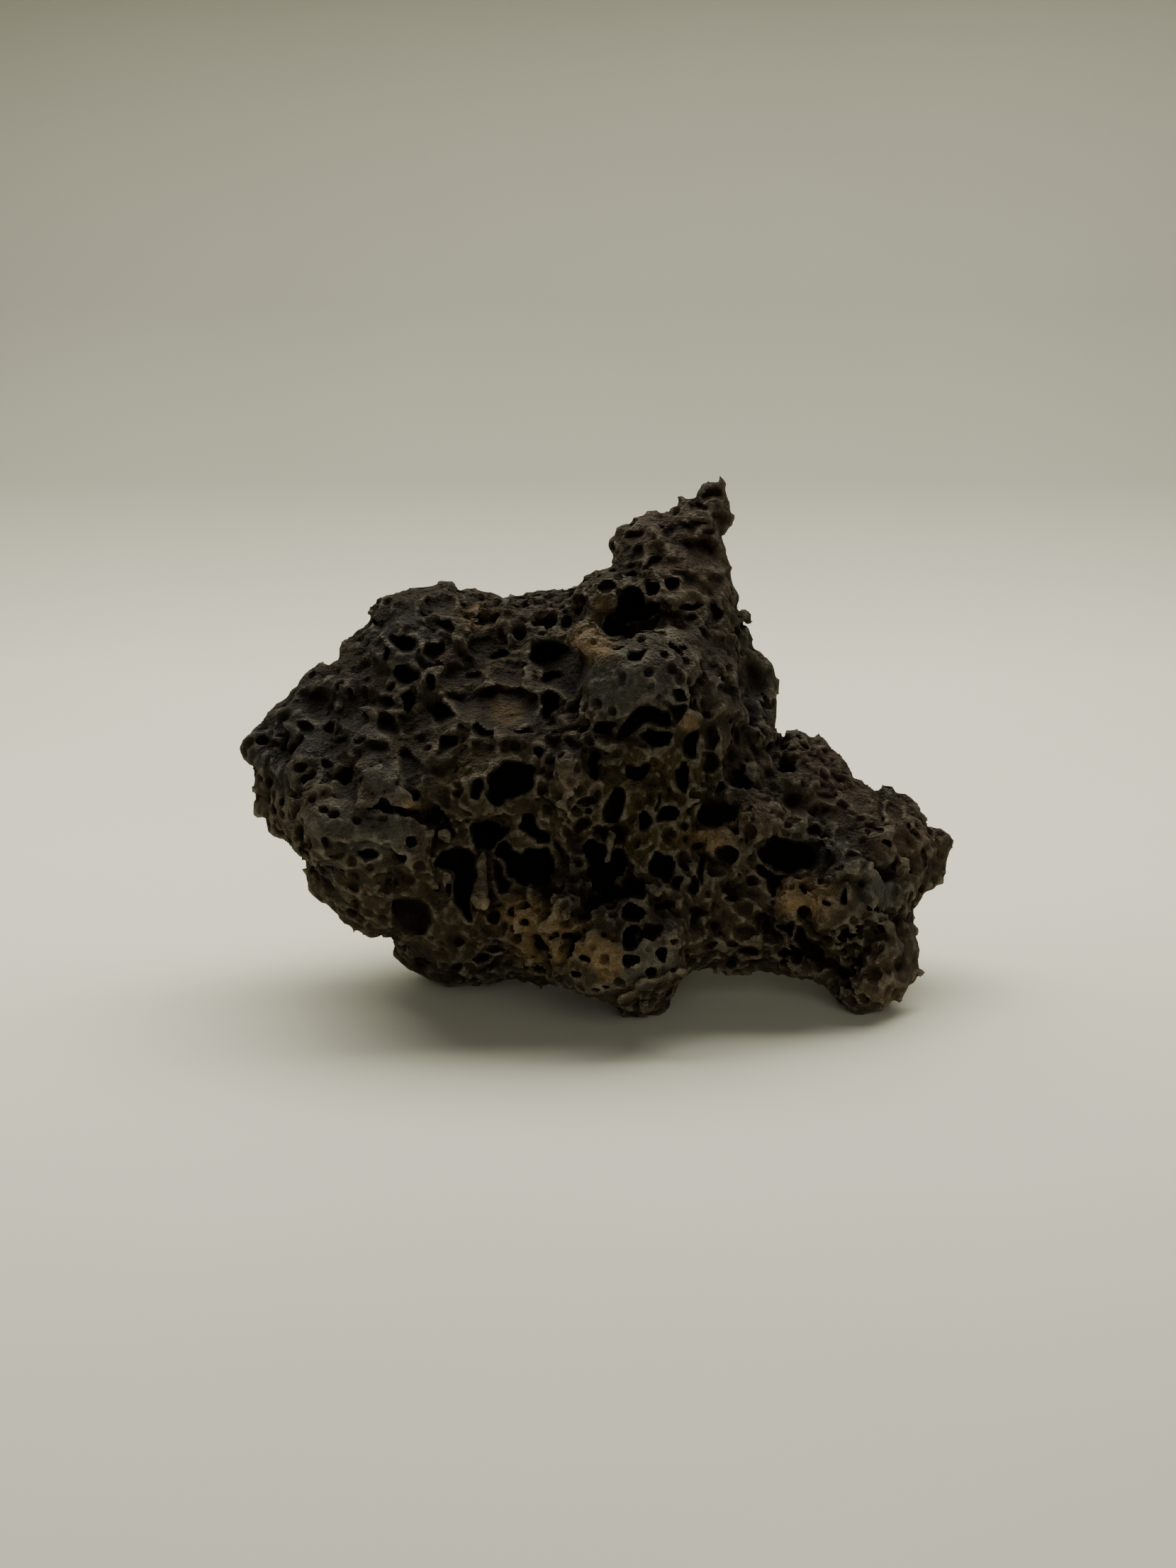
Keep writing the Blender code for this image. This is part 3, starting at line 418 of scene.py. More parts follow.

# %% [markdown]
# ## Gas holes
# The holes that give this rock its face are drawn one by one: the outline of each mouth
# as it appears from the seat, and a depth. Cavities have steep walls, so they look
# black, and the material darkens them further with painted shade. Dishes are shallow and round. The rest are
# far too many to draw, and gas
# spreads them evenly anyway, so seeded chance places those. They come in three kinds:
# large egg shapes on the sides out of sight, bowls round scattered seeds, whose
# edges meet in thin webs, and small egg shapes everywhere that a mouth has room.

# %% The drawn holes
# (how deep, mouth as (across, up) points) of holes with steep walls
CAVITIES = [
    # upper left
    (6, [(-44.5, 80.5), (-44, 81.4), (-42.2, 81.7), (-40.7, 81.2), (-39, 79.5), (-39.1, 78), (-40.2, 77.4),
         (-42.2, 77.7), (-44, 78.9)]),
    (2.5, [(-45.6, 77.7), (-45.1, 79.1), (-44.5, 78), (-44.8, 75.9), (-45.4, 75), (-46, 76.8)]),
    (3, [(-44, 72.8), (-43.1, 74.6), (-41.6, 74.9), (-40, 74.3), (-38, 73.4), (-38.8, 71.6), (-40, 70.2),
         (-41.9, 70.5), (-43.1, 71.6)]),
    (5, [(-41.7, 67.6), (-41.3, 69.1), (-39.1, 68.8), (-39.1, 66.7), (-39.9, 64.2), (-40.7, 64.5),
         (-41.7, 65.5)]),
    (3, [(-43.4, 55), (-42.5, 56.9), (-40, 57.5), (-38, 54.7), (-38, 50.1), (-41.3, 49.5), (-42.8, 51.7)]),
    (3, [(-37.3, 77.4), (-36.8, 78.9), (-35.4, 80.3), (-33.1, 80.6), (-32.2, 79.2), (-32.1, 78),
         (-33.4, 75.9), (-35.1, 74.8), (-36.5, 75.9)]),
    (3, [(-28.5, 78.6), (-26.7, 81.1), (-24.9, 81.8), (-22.4, 81.7), (-20.6, 80.8), (-19.3, 78.6),
         (-19, 76.8), (-20.6, 75.4), (-23, 75.2), (-24.9, 75.2), (-26.7, 76.2), (-28.1, 77.1)]),
    (6, [(-23.6, 75.9), (-22.4, 77.7), (-19.3, 77.8), (-19.2, 76.8), (-20.6, 75.6)]),
    (3, [(-29.3, 71.9), (-28.8, 73), (-26.7, 73.7), (-24.9, 74.2), (-24.6, 72.2), (-26.4, 71.3),
         (-28.2, 71)]),
    (5, [(-36, 64.2), (-35.9, 65.5), (-35, 66.7), (-33.7, 67), (-31.9, 66.1), (-30.5, 64.8), (-30.1, 64.1),
         (-31.4, 62.9), (-33.1, 62.4), (-34.3, 61.8), (-35.4, 62.7)]),
    (3, [(-26.7, 62.4), (-25.8, 62.1), (-24.2, 60.9), (-22.6, 60.9), (-23, 59.6), (-24.9, 58.9),
         (-26.2, 59.3)]),
    (3.5, [(-34.5, 57.8), (-33.7, 59.6), (-31.9, 60.4), (-30.2, 59.8), (-29.6, 58.4), (-30.4, 56.9),
           (-32.2, 55.7), (-34.7, 54.9)]),
    (3, [(-27.6, 47.1), (-27, 49.5), (-26.1, 50.6), (-24.4, 50.9), (-24.4, 48.9), (-25.2, 45.9),
         (-26.4, 45.6)]),
    # upper middle
    (4, [(-14.8, 78.3), (-12.6, 79.8), (-8.3, 79.5), (-4.7, 78.9), (-1.9, 74.9), (-3.4, 71.9), (-3.7, 68.8),
         (-6.2, 66.7), (-7.7, 68.5), (-10.2, 70.3), (-12.2, 71.6), (-12.3, 73.4), (-14.5, 74.6)]),
    (6, [(-11.4, 76.5), (-10.2, 77.4), (-8.3, 76.8), (-8, 75.2), (-9.6, 74.9), (-11.1, 74.9)]),
    (7, [(-12.2, 71.6), (-11.4, 73.1), (-8, 73.7), (-7.4, 72.2), (-8.6, 70.5), (-11.4, 70.3)]),
    (8, [(-12.3, 69.1), (-10.5, 69.6), (-8, 68.5), (-7.7, 66.1), (-9.9, 63.9), (-10.5, 62.4), (-12.6, 62.7),
         (-12.2, 65.5)]),
    (7, [(-24.2, 50.8), (-22.4, 52.3), (-20.6, 54.4), (-17.8, 55), (-15.1, 54.4), (-13.7, 52),
         (-13.5, 48.9), (-15.1, 47.1), (-17.5, 46.8), (-20.6, 45.3), (-23.6, 45.6), (-24.2, 48.6)]),
    (3, [(-14, 57.5), (-12.9, 58), (-11.7, 57.3), (-11.9, 55.7), (-12.5, 54.1), (-13.5, 55.4)]),
    (2, [(-7.7, 59), (-7.1, 59.9), (-5.6, 59.8), (-4.8, 58.4), (-3.3, 56.9), (-3.6, 55.8), (-5.3, 55.8),
         (-7.4, 57.8)]),
    (5, [(-2.5, 54.7), (-1.75, 56.3), (-0.4, 56.4), (0.5, 55.5), (0.5, 53.5), (0.2, 50.8), (-0.7, 49.8),
         (-2, 51)]),
    (7, [(1.8, 84.1), (3.3, 84.1), (4.8, 85), (6, 83.8), (6.05, 80.8), (4.8, 80), (3.4, 80.3),
         (2.1, 82.3)]),
    (5, [(9.6, 88), (12.6, 88), (12.6, 86), (11, 83.6), (9.6, 82.8), (9, 84.5)]),
    (3, [(16.8, 86.9), (18, 87.5), (19.8, 87.6), (21.4, 88.1), (22.1, 87.9), (21.7, 86.9), (21.2, 86),
         (18.8, 85.8), (17.4, 86.3)]),
    (4, [(23, 87.8), (23.8, 88.6), (25, 88.1), (26.3, 86.9), (26.7, 85.65), (26.3, 84.4), (25.6, 83.5),
         (24.7, 83.05), (23.8, 83.5), (23.2, 84.7)]),
    (2.5, [(6.05, 76.9), (7, 77.4), (8.2, 77.2), (9.7, 77.8), (10.1, 77.7), (9.4, 76.8), (8.5, 76),
           (7.4, 75.7), (6.5, 76)]),
    (6, [(9.4, 67.1), (11.3, 66.4), (12.5, 65.8), (15.5, 65.1), (15.5, 61.6), (13.1, 61.8), (11.3, 62.1),
         (10, 61.8), (8.2, 60.7), (6.7, 59.8), (5.1, 59), (4.1, 59), (3.8, 60.9), (4.2, 62.4), (5.7, 63.5),
         (7, 65.1)]),
    (7, [(8.8, 59.9), (9.7, 60.9), (10.9, 61.5), (13.1, 60.9), (14.9, 60.9), (15.5, 59.9), (14.9, 58.4),
         (14, 57.3), (12.5, 57.3), (10.9, 57.5), (9.6, 58.4)]),
    (3, [(0.2, 62.4), (1.5, 62.9), (3.5, 62.9), (3.1, 61.8), (2.8, 60.6), (2.1, 60.1), (0.85, 60.6),
         (-0.1, 60.9)]),
    (2, [(19.4, 67.6), (20, 67.9), (20.4, 66.7), (20, 64.8), (19.1, 64.7), (19.1, 66.4)]),
    (5, [(21.05, 61.3), (21.2, 59.9), (20.9, 58.4), (20.6, 56.3), (20.4, 55), (19.1, 55), (18, 55.8),
         (17.7, 57.5), (18.1, 59), (19.1, 60.1), (20.1, 60.9)]),
    (6, [(17.1, 54.3), (18, 54.6), (18.8, 53.5), (19.1, 51.7), (19.1, 49.2), (18.8, 47.7), (17.7, 47.4),
         (16.8, 48.3), (16.2, 50.1), (16, 51.7), (16.5, 53.2)]),
    (5, [(5.3, 53.2), (6.05, 54.1), (8.2, 54), (10, 54), (10.9, 53.5), (11.1, 52.3), (10.3, 51.1),
         (9.4, 50.1), (8.2, 49.7), (6.7, 49.8), (5.7, 51.1), (5.1, 52)]),
    (6, [(0.1, 41.6), (0.4, 43.2), (1.5, 46), (2.5, 48.6), (4.5, 49.3), (5.9, 48.3), (6, 46), (5.3, 43.8),
         (5.7, 43), (5.1, 40.4), (4, 40), (2.3, 40.1), (1.2, 40.7)]),
    (3, [(11.6, 44), (11.9, 46), (12.5, 47.9), (13.1, 46.8), (12.9, 44.8), (12.3, 43.9)]),
    (5, [(12.8, 44.6), (13.7, 45.1), (16.2, 45.1), (17.1, 44.4), (16.9, 43), (16.2, 41.8), (14.5, 41.4),
         (12.8, 41.55), (12, 42.1), (12.3, 43.8)]),
    (5, [(7.95, 42.4), (8.8, 43.8), (9.9, 44.4), (10.8, 43.8), (11.2, 42.4), (11, 40.4), (9.9, 39),
         (8.2, 39.2)]),
    (6, [(21.1, 41.55), (21.6, 43), (22.4, 44.1), (23.8, 44.9), (26.9, 45.5), (26.6, 44.4), (26.3, 43),
         (25.5, 41.55), (24.65, 41), (22.7, 41), (21.6, 40.85)]),
    (2, [(27.3, 43.5), (28, 44.6), (29.15, 45.1), (29.4, 44.9), (28.9, 43.5), (28.3, 42.4), (27.5, 42.4)]),
    (2, [(17.2, 40.4), (17.9, 41.4), (18.9, 41), (19.3, 39.9), (18.75, 39), (17.9, 39.2)]),
    # right flank
    (3, [(24.9, 70.3), (27.8, 70.3), (29.3, 70.2), (29.8, 69.1), (29.6, 67.6), (28.7, 66.8), (27.8, 67.6),
         (25.3, 69.3)]),
    (3.5, [(21.7, 56.3), (22.6, 56.9), (24.1, 56.6), (25.3, 55.3), (26.3, 53.5), (25.6, 52), (24.1, 51.5),
           (22.9, 51.5), (22, 52.6)]),
    (3.5, [(26.6, 51.1), (27.8, 52), (29.9, 52.1), (31.2, 51.7), (31.9, 50.1), (31.2, 48.8), (29.6, 48.6),
           (28.4, 49.2)]),
    (2.5, [(30.1, 62.1), (31.2, 62.4), (32.7, 62.1), (32.1, 59.9), (32.7, 58.1), (33.9, 56.3), (34.1, 53.2),
           (33.3, 54.7), (32.1, 55.7), (31.2, 57.2), (30.1, 59.6)]),
    (3, [(14.2, 92.4), (14.9, 93.4), (16.8, 93.6), (17.6, 92.4), (16.8, 91.2), (15.4, 91), (14.4, 91.4)]),
    (2.5, [(11.2, 97.7), (12.1, 98.4), (13, 97.7), (13.9, 97.1), (12.7, 96.5), (11.2, 95.9),
           (10.5, 95.5)]),
    (2, [(19.5, 109.5), (20.95, 109.8), (21.8, 108.9), (23, 108), (23.9, 107.7), (22.4, 107.4),
         (20.4, 107.6), (19.5, 108)]),
    # lower left
    (3, [(-51.9, 35.4), (-50.25, 35.5), (-48.6, 35.6), (-47.4, 35.4), (-46.6, 34.4), (-47.2, 33.5),
         (-48.3, 33.1), (-49.8, 32.55), (-49.4, 33.4), (-50.5, 34.2), (-51.4, 34.7)]),
    (2, [(-42, 43.2), (-38.5, 43.6), (-36.8, 43.2), (-37.5, 42.3), (-41.5, 42.3)]),
    (5, [(-37.3, 42.1), (-36.2, 43.2), (-35.6, 44.4), (-34.8, 44.6), (-33.4, 44.4), (-33.2, 43),
         (-33.9, 40.7), (-34.8, 40.3), (-36.5, 41.3)]),
    (7, [(-44.9, 24.1), (-43.8, 25.2), (-42.1, 25.8), (-40.1, 25.5), (-38.4, 25.1), (-36.75, 24.7),
         (-35.6, 23.55), (-35.1, 22.1), (-34.9, 20.7), (-35.3, 19.3), (-36.2, 17.9), (-37.3, 17.4),
         (-39, 17.2), (-41.25, 17.1), (-42.4, 17.4), (-43.5, 18.5), (-44.1, 20.2), (-44.3, 21.9)]),
    (10, [(-40.7, 23.8), (-36.5, 23.8), (-35.6, 23), (-36.5, 22), (-40.7, 22)]),
    (2, [(-43.5, 30.9), (-42.7, 31), (-41.25, 30.3), (-40, 29.9), (-41.25, 29.7), (-42.7, 30)]),
    (5, [(-30.3, 36.2), (-28.9, 36.5), (-27.2, 35.4), (-26.1, 34.2), (-25.9, 32), (-26.1, 28.05),
         (-26.6, 26.4), (-27.05, 23.8), (-26.9, 21.3), (-27.05, 20), (-28, 20.3), (-29.2, 21.9),
         (-30.6, 23.55), (-31.1, 26.9), (-31.1, 30.3), (-32.5, 31.1), (-34.5, 31.4), (-34.9, 33.4),
         (-33.7, 34.8), (-32, 35.6)]),
    (4, [(-32.5, 28.05), (-31.7, 28.75), (-30.85, 28.05), (-30.85, 26.65), (-31.3, 25), (-32, 25.8)]),
    (3.5, [(-31.3, 15.7), (-29.7, 16.8), (-28, 16.5), (-27.9, 15.4), (-28.9, 14.4), (-30.6, 14.4)]),
    (3, [(-31.8, 10.9), (-30.85, 11.5), (-29.2, 11.3), (-29, 10.05), (-29.4, 9.2), (-30.6, 8.65),
         (-31.8, 8.9)]),
    (4, [(-27.5, 12.3), (-26.4, 12.4), (-25.2, 13.4), (-23, 13.4), (-22.4, 12.6), (-23, 12), (-24.4, 11.2),
         (-25.5, 10.75), (-26.6, 11)]),
    (4, [(-24.7, 14), (-23.8, 14.8), (-21.9, 15), (-19.6, 14.8), (-19.3, 14.3), (-19.9, 13.1),
         (-21.3, 12.6), (-22.7, 12.9)]),
    # lower middle
    (9, [(-27.35, 39.3), (-26.9, 40.7), (-25.2, 41.8), (-23.8, 42.4), (-23.1, 41.55), (-21.6, 41.1),
         (-19.6, 41), (-18.8, 40.3), (-19.3, 39), (-20.2, 37.9), (-21.9, 37.3), (-22.3, 35.6),
         (-23.1, 34.8), (-25, 35.1), (-25.8, 34.8), (-26.6, 35.6)]),
    (7, [(-17.1, 41.3), (-16.5, 42.7), (-15.4, 43.2), (-14.3, 43.4), (-13.6, 42.4), (-13.4, 41),
         (-12.3, 40.1), (-11.2, 39.3), (-10.3, 37.9), (-10.6, 36.8), (-12.9, 37.05), (-14, 37.6),
         (-15.7, 38.7), (-17.6, 40.1)]),
    (8, [(-22.3, 36.8), (-19.9, 38.2), (-18.5, 36.8), (-17.65, 35.1), (-15.1, 35.65), (-12.9, 36.5),
         (-11.2, 36.5), (-9.8, 34.8), (-9.5, 32.55), (-9.5, 30.3), (-10.3, 28.05), (-11.5, 26.9),
         (-12.9, 27.5), (-14, 28.05), (-15.4, 27.6), (-16.8, 28.05), (-18.2, 28.6), (-19.6, 30.3),
         (-20.5, 32.55), (-21.6, 33.7), (-22.4, 34.2)]),
    (3, [(-10.05, 37.9), (-8.9, 37.9), (-7.8, 36.2), (-6.4, 34.2), (-6.95, 30.9), (-7.8, 30.9),
         (-8.4, 32.8), (-9.5, 35.9)]),
    (3, [(-5.8, 41.3), (-4.15, 43), (-2.2, 42.7), (-1.3, 41.3), (-1.9, 39.6), (-2.7, 38.7), (-3.6, 37.3),
         (-4.15, 36.2), (-5.55, 37.6)]),
    (8, [(-3.2, 37.3), (-1.9, 38.5), (-1.05, 37.9), (0.07, 36.8), (1.8, 35.9), (2.3, 34), (2.9, 35.4),
         (4.3, 36.2), (6, 35.1), (6.3, 33.4), (6, 30.9), (5.1, 29.5), (4, 29.5), (3.7, 27.8), (4.6, 25.8),
         (2.9, 25.7), (0.6, 26.4), (-1.05, 27.5), (-2.2, 29.2), (-3.2, 30.3), (-2.9, 32), (-1.9, 32.55),
         (-3, 33.7), (-3.3, 35.4)]),
    (4, [(5.1, 29.5), (6.5, 29.5), (7.7, 28.9), (8.8, 29.2), (9.9, 27.5), (9.9, 26.1), (9.35, 25),
         (8.2, 25.1), (6.5, 25.4), (5.4, 26.4)]),
    (3.5, [(4.85, 23), (5.7, 24.4), (6.8, 24), (8.2, 23.55), (9.8, 22.6), (9.9, 21.9), (8.8, 20.5),
           (7.4, 20.2), (6, 20.5), (5, 21.2)]),
    (4, [(5.3, 17.9), (6, 19.05), (7.1, 19.6), (8.2, 19.5), (8.8, 18.5), (8.8, 16.5), (8.2, 14.8),
         (7.1, 13.7), (6.1, 14), (5.4, 15.4), (5.1, 16.8)]),
    (3.5, [(-15.8, 21.2), (-15.25, 20.7), (-14.3, 19.9), (-14.55, 19.05), (-15.7, 18.8), (-16.7, 18.8),
           (-16.7, 19.9)]),
    (4, [(-13.4, 16.2), (-12.6, 16.4), (-11.5, 15.1), (-10.6, 14.3), (-9.8, 13.6), (-10.9, 13.3),
         (-12.6, 13.3), (-14, 13.7), (-14.4, 14.8)]),
    (3, [(-15, 12.3), (-14.55, 12.9), (-12.3, 13), (-10.05, 12.9), (-9.8, 11.5), (-10.6, 12), (-12.3, 12.2),
         (-14, 12.2)]),
    (2.5, [(-4.3, 12.7), (-3.6, 13), (-2.5, 12.4), (-1.75, 11.9), (-2, 11.3), (-3, 11.5), (-4, 12.2)]),
    (1.5, [(-5.8, 10.05), (-4.7, 10.05), (-3.9, 9.2), (-3.9, 8.5), (-4.7, 8.65), (-5.55, 9.2)]),
    (1.2, [(0.2, 17.9), (1.5, 18.1), (1.3, 17.1), (0.5, 17.1)]),
    (6, [(11.3, 34.5), (12.4, 34.8), (14.7, 34.5), (16, 34.2), (16.3, 32), (16, 30), (14.7, 28.05),
         (13, 28.05), (11.3, 29.2), (10.2, 30.3), (10.5, 32.3)]),
    (3, [(14.7, 26.9), (14.8, 29.2), (15.4, 29.9), (17.1, 30), (17.6, 29.2), (17.3, 27.8), (17.1, 26.65),
         (15.9, 26.4)]),
    (2, [(21, 34.2), (22.4, 34.8), (22.8, 33.7), (22, 30.3), (21.8, 28.05), (21.3, 27.8), (21.1, 30.3)]),
    (2.5, [(18.2, 26.65), (19.3, 28.05), (19.45, 29.7), (20.4, 29.9), (21, 29.2), (21, 26.4), (20.2, 25.1),
           (19, 25.2)]),
    (3.5, [(18.6, 21.3), (18.6, 22.7), (19.45, 23.8), (20.4, 24.1), (21.8, 23.55), (23.8, 22.7),
           (24.4, 21.9), (23.2, 21.3), (21.8, 20.7), (21, 20), (19.9, 20.3)]),
    # lower right
    (4.5, [(35.9, 37.3), (37, 38.2), (38.7, 37.9), (41.8, 37.05), (45.2, 36.5), (46.2, 35.1), (46.2, 33.4),
           (46.9, 32.8), (45.7, 31.7), (44.1, 31.3), (41.8, 30.9), (40.1, 30.2), (37.3, 30.8), (35.1, 32.4),
           (33.8, 33.4), (33.4, 35.6)]),
    (7, [(42.7, 35.9), (45.2, 35.9), (45.9, 34.8), (45.7, 32.55), (44.3, 31.6), (42.4, 31.7), (41, 32.8),
         (42.5, 34)]),
    (8, [(33.2, 32), (34.5, 32.3), (35.3, 32), (37.3, 30.3), (40.1, 29.9), (38.4, 28.9), (37.7, 26.65),
         (36.75, 25.8), (36, 26.4), (35.6, 28.6), (34.5, 30), (33.4, 30.9)]),
    (1.5, [(26.1, 25.9), (26.8, 25.9), (27.2, 25), (26.3, 24.8)]),
    (1.5, [(29.15, 30.9), (30, 31.1), (30, 30), (29.3, 30)]),
    (2, [(21.3, 14.55), (22.4, 15.7), (24.1, 15.8), (25.5, 15.7), (25.2, 14.8), (24.1, 14.3), (23.2, 13.85),
         (21.8, 13.85)]),
    (3, [(28.9, 13.4), (30, 14.55), (31.7, 14.55), (33.4, 14.3), (33.65, 13.4), (32.8, 12.7), (31.4, 12.4),
         (30, 12.7)]),
    (1.5, [(25.4, 13.7), (26.9, 13.4), (27.75, 12.7), (27.2, 12.6), (25.8, 13)]),
    (2, [(33.4, 11.2), (34.5, 11.1), (37.3, 11.3), (39.3, 11.4), (37.3, 10.5), (34.5, 10.5)]),
    (1.5, [(36.5, 14), (39, 13.8), (40.7, 13.7), (39, 13.2), (37, 13.4)]),
    (1.5, [(36.2, 9.7), (38.4, 9.6), (41, 9.1), (40.7, 8.5), (38.4, 8.7), (36.75, 9.1)]),
    (6, [(37.45, 19.05), (38.2, 20), (39.3, 20.3), (40.7, 20), (41.4, 19.05), (41.4, 16.5), (40.4, 15.7),
         (39.8, 17.1), (38.2, 18.35)]),
    (5, [(41.4, 19.05), (42.4, 19.6), (43.8, 19.05), (44.9, 16.8), (46.9, 15.4), (48.3, 12.9), (50, 12.9),
         (50.8, 11.5), (51.9, 9.8), (52.8, 8.65), (52.8, 7.8), (50.8, 7.95), (48.3, 8.9), (46, 10.05),
         (43.8, 11.2), (41.8, 11.5), (41.5, 13.4), (41.8, 15.1), (41.2, 16.5)]),
    (2, [(44.1, 39.6), (45.5, 40.4), (46.9, 39.9), (48.3, 38.7), (47.7, 37.6), (46.3, 37.6),
         (44.6, 38.2)]),
    (2, [(50.8, 39.6), (52.5, 40), (54.5, 39.6), (54.7, 38.2), (53.9, 36.8), (52.2, 36.3), (50.8, 37.3),
         (50.2, 38.5)]),
    (1.8, [(52.1, 34.2), (54.2, 35), (57, 34.8), (55.4, 33.4), (53, 32.2), (52.1, 33)]),
    (2, [(55.2, 30.2), (55.4, 31.4), (56.6, 33.2), (57.8, 33.8), (57.8, 33), (56.8, 31.4), (55.8, 30.2)]),
    (1.5, [(50.5, 44.5), (51.4, 45.2), (52.1, 44.8), (51.9, 43.8), (51.1, 43.7)]),
    (1.5, [(50, 31.4), (51.4, 31.85), (52.2, 31.6), (51.4, 31), (50, 31)]),
    (2.5, [(46.3, 28.6), (47, 29.6), (48, 29.2), (48, 27.8), (46.9, 27.2)]),
    (1.2, [(43.2, 27.6), (43.8, 27.9), (44.5, 27.6), (43.8, 27)]),
    (1.2, [(49.1, 29.6), (50, 29.8), (50.5, 29.3), (49.7, 28.9)]),
    (2.5, [(51.4, 25.8), (52.2, 27.5), (52.8, 25.8), (52.6, 24.1), (51.9, 23.6), (51.1, 24.1)]),
    (1.5, [(46.9, 24.8), (48.3, 24.9), (49.7, 23.9), (50, 23.4), (48.3, 23.7), (47.2, 24.2)]),
    (1.2, [(61.8, 20.1), (63, 20.1), (62.8, 19.3), (61.8, 19.3)]),
    # right lobe
    (1.8, [(42.1, 53.2), (42.9, 54.4), (44.5, 53.6), (45.7, 52.4), (45.7, 51.2), (44.1, 51.6),
           (42.5, 52.4)]),
    (1.2, [(39.4, 56.6), (41.2, 57.2), (42.5, 56.8), (41.2, 56), (39.8, 56)]),
    (1.2, [(49.7, 51.8), (52.1, 50.8), (53.4, 49.6), (51.3, 49.6), (49.9, 50.4)]),
    (1, [(46.9, 50.4), (48.1, 50.8), (48.9, 50), (47.7, 49.8)]),
    (1.5, [(59.2, 46.3), (60.2, 45.5), (60.2, 43.1), (59.8, 40.3), (59.2, 41.9), (58.8, 44.3)]),
    (1.5, [(55.8, 40.5), (58.6, 40.3), (60, 39.7), (59.8, 38.9), (58, 39.3), (56.2, 39.9)]),
    (1.5, [(65.7, 40.7), (66.7, 39.5), (67.9, 38.3), (68.3, 37.3), (66.7, 38), (65.6, 39.5)]),
    (1.2, [(68.7, 35.8), (69.7, 35), (69.9, 31), (69.1, 30.2), (68.3, 32.6), (68.3, 34.6)]),
    (0.8, [(60.2, 37.3), (61.4, 37.1), (62.2, 36.2), (61.4, 35.8), (60.6, 36.5)]),
]
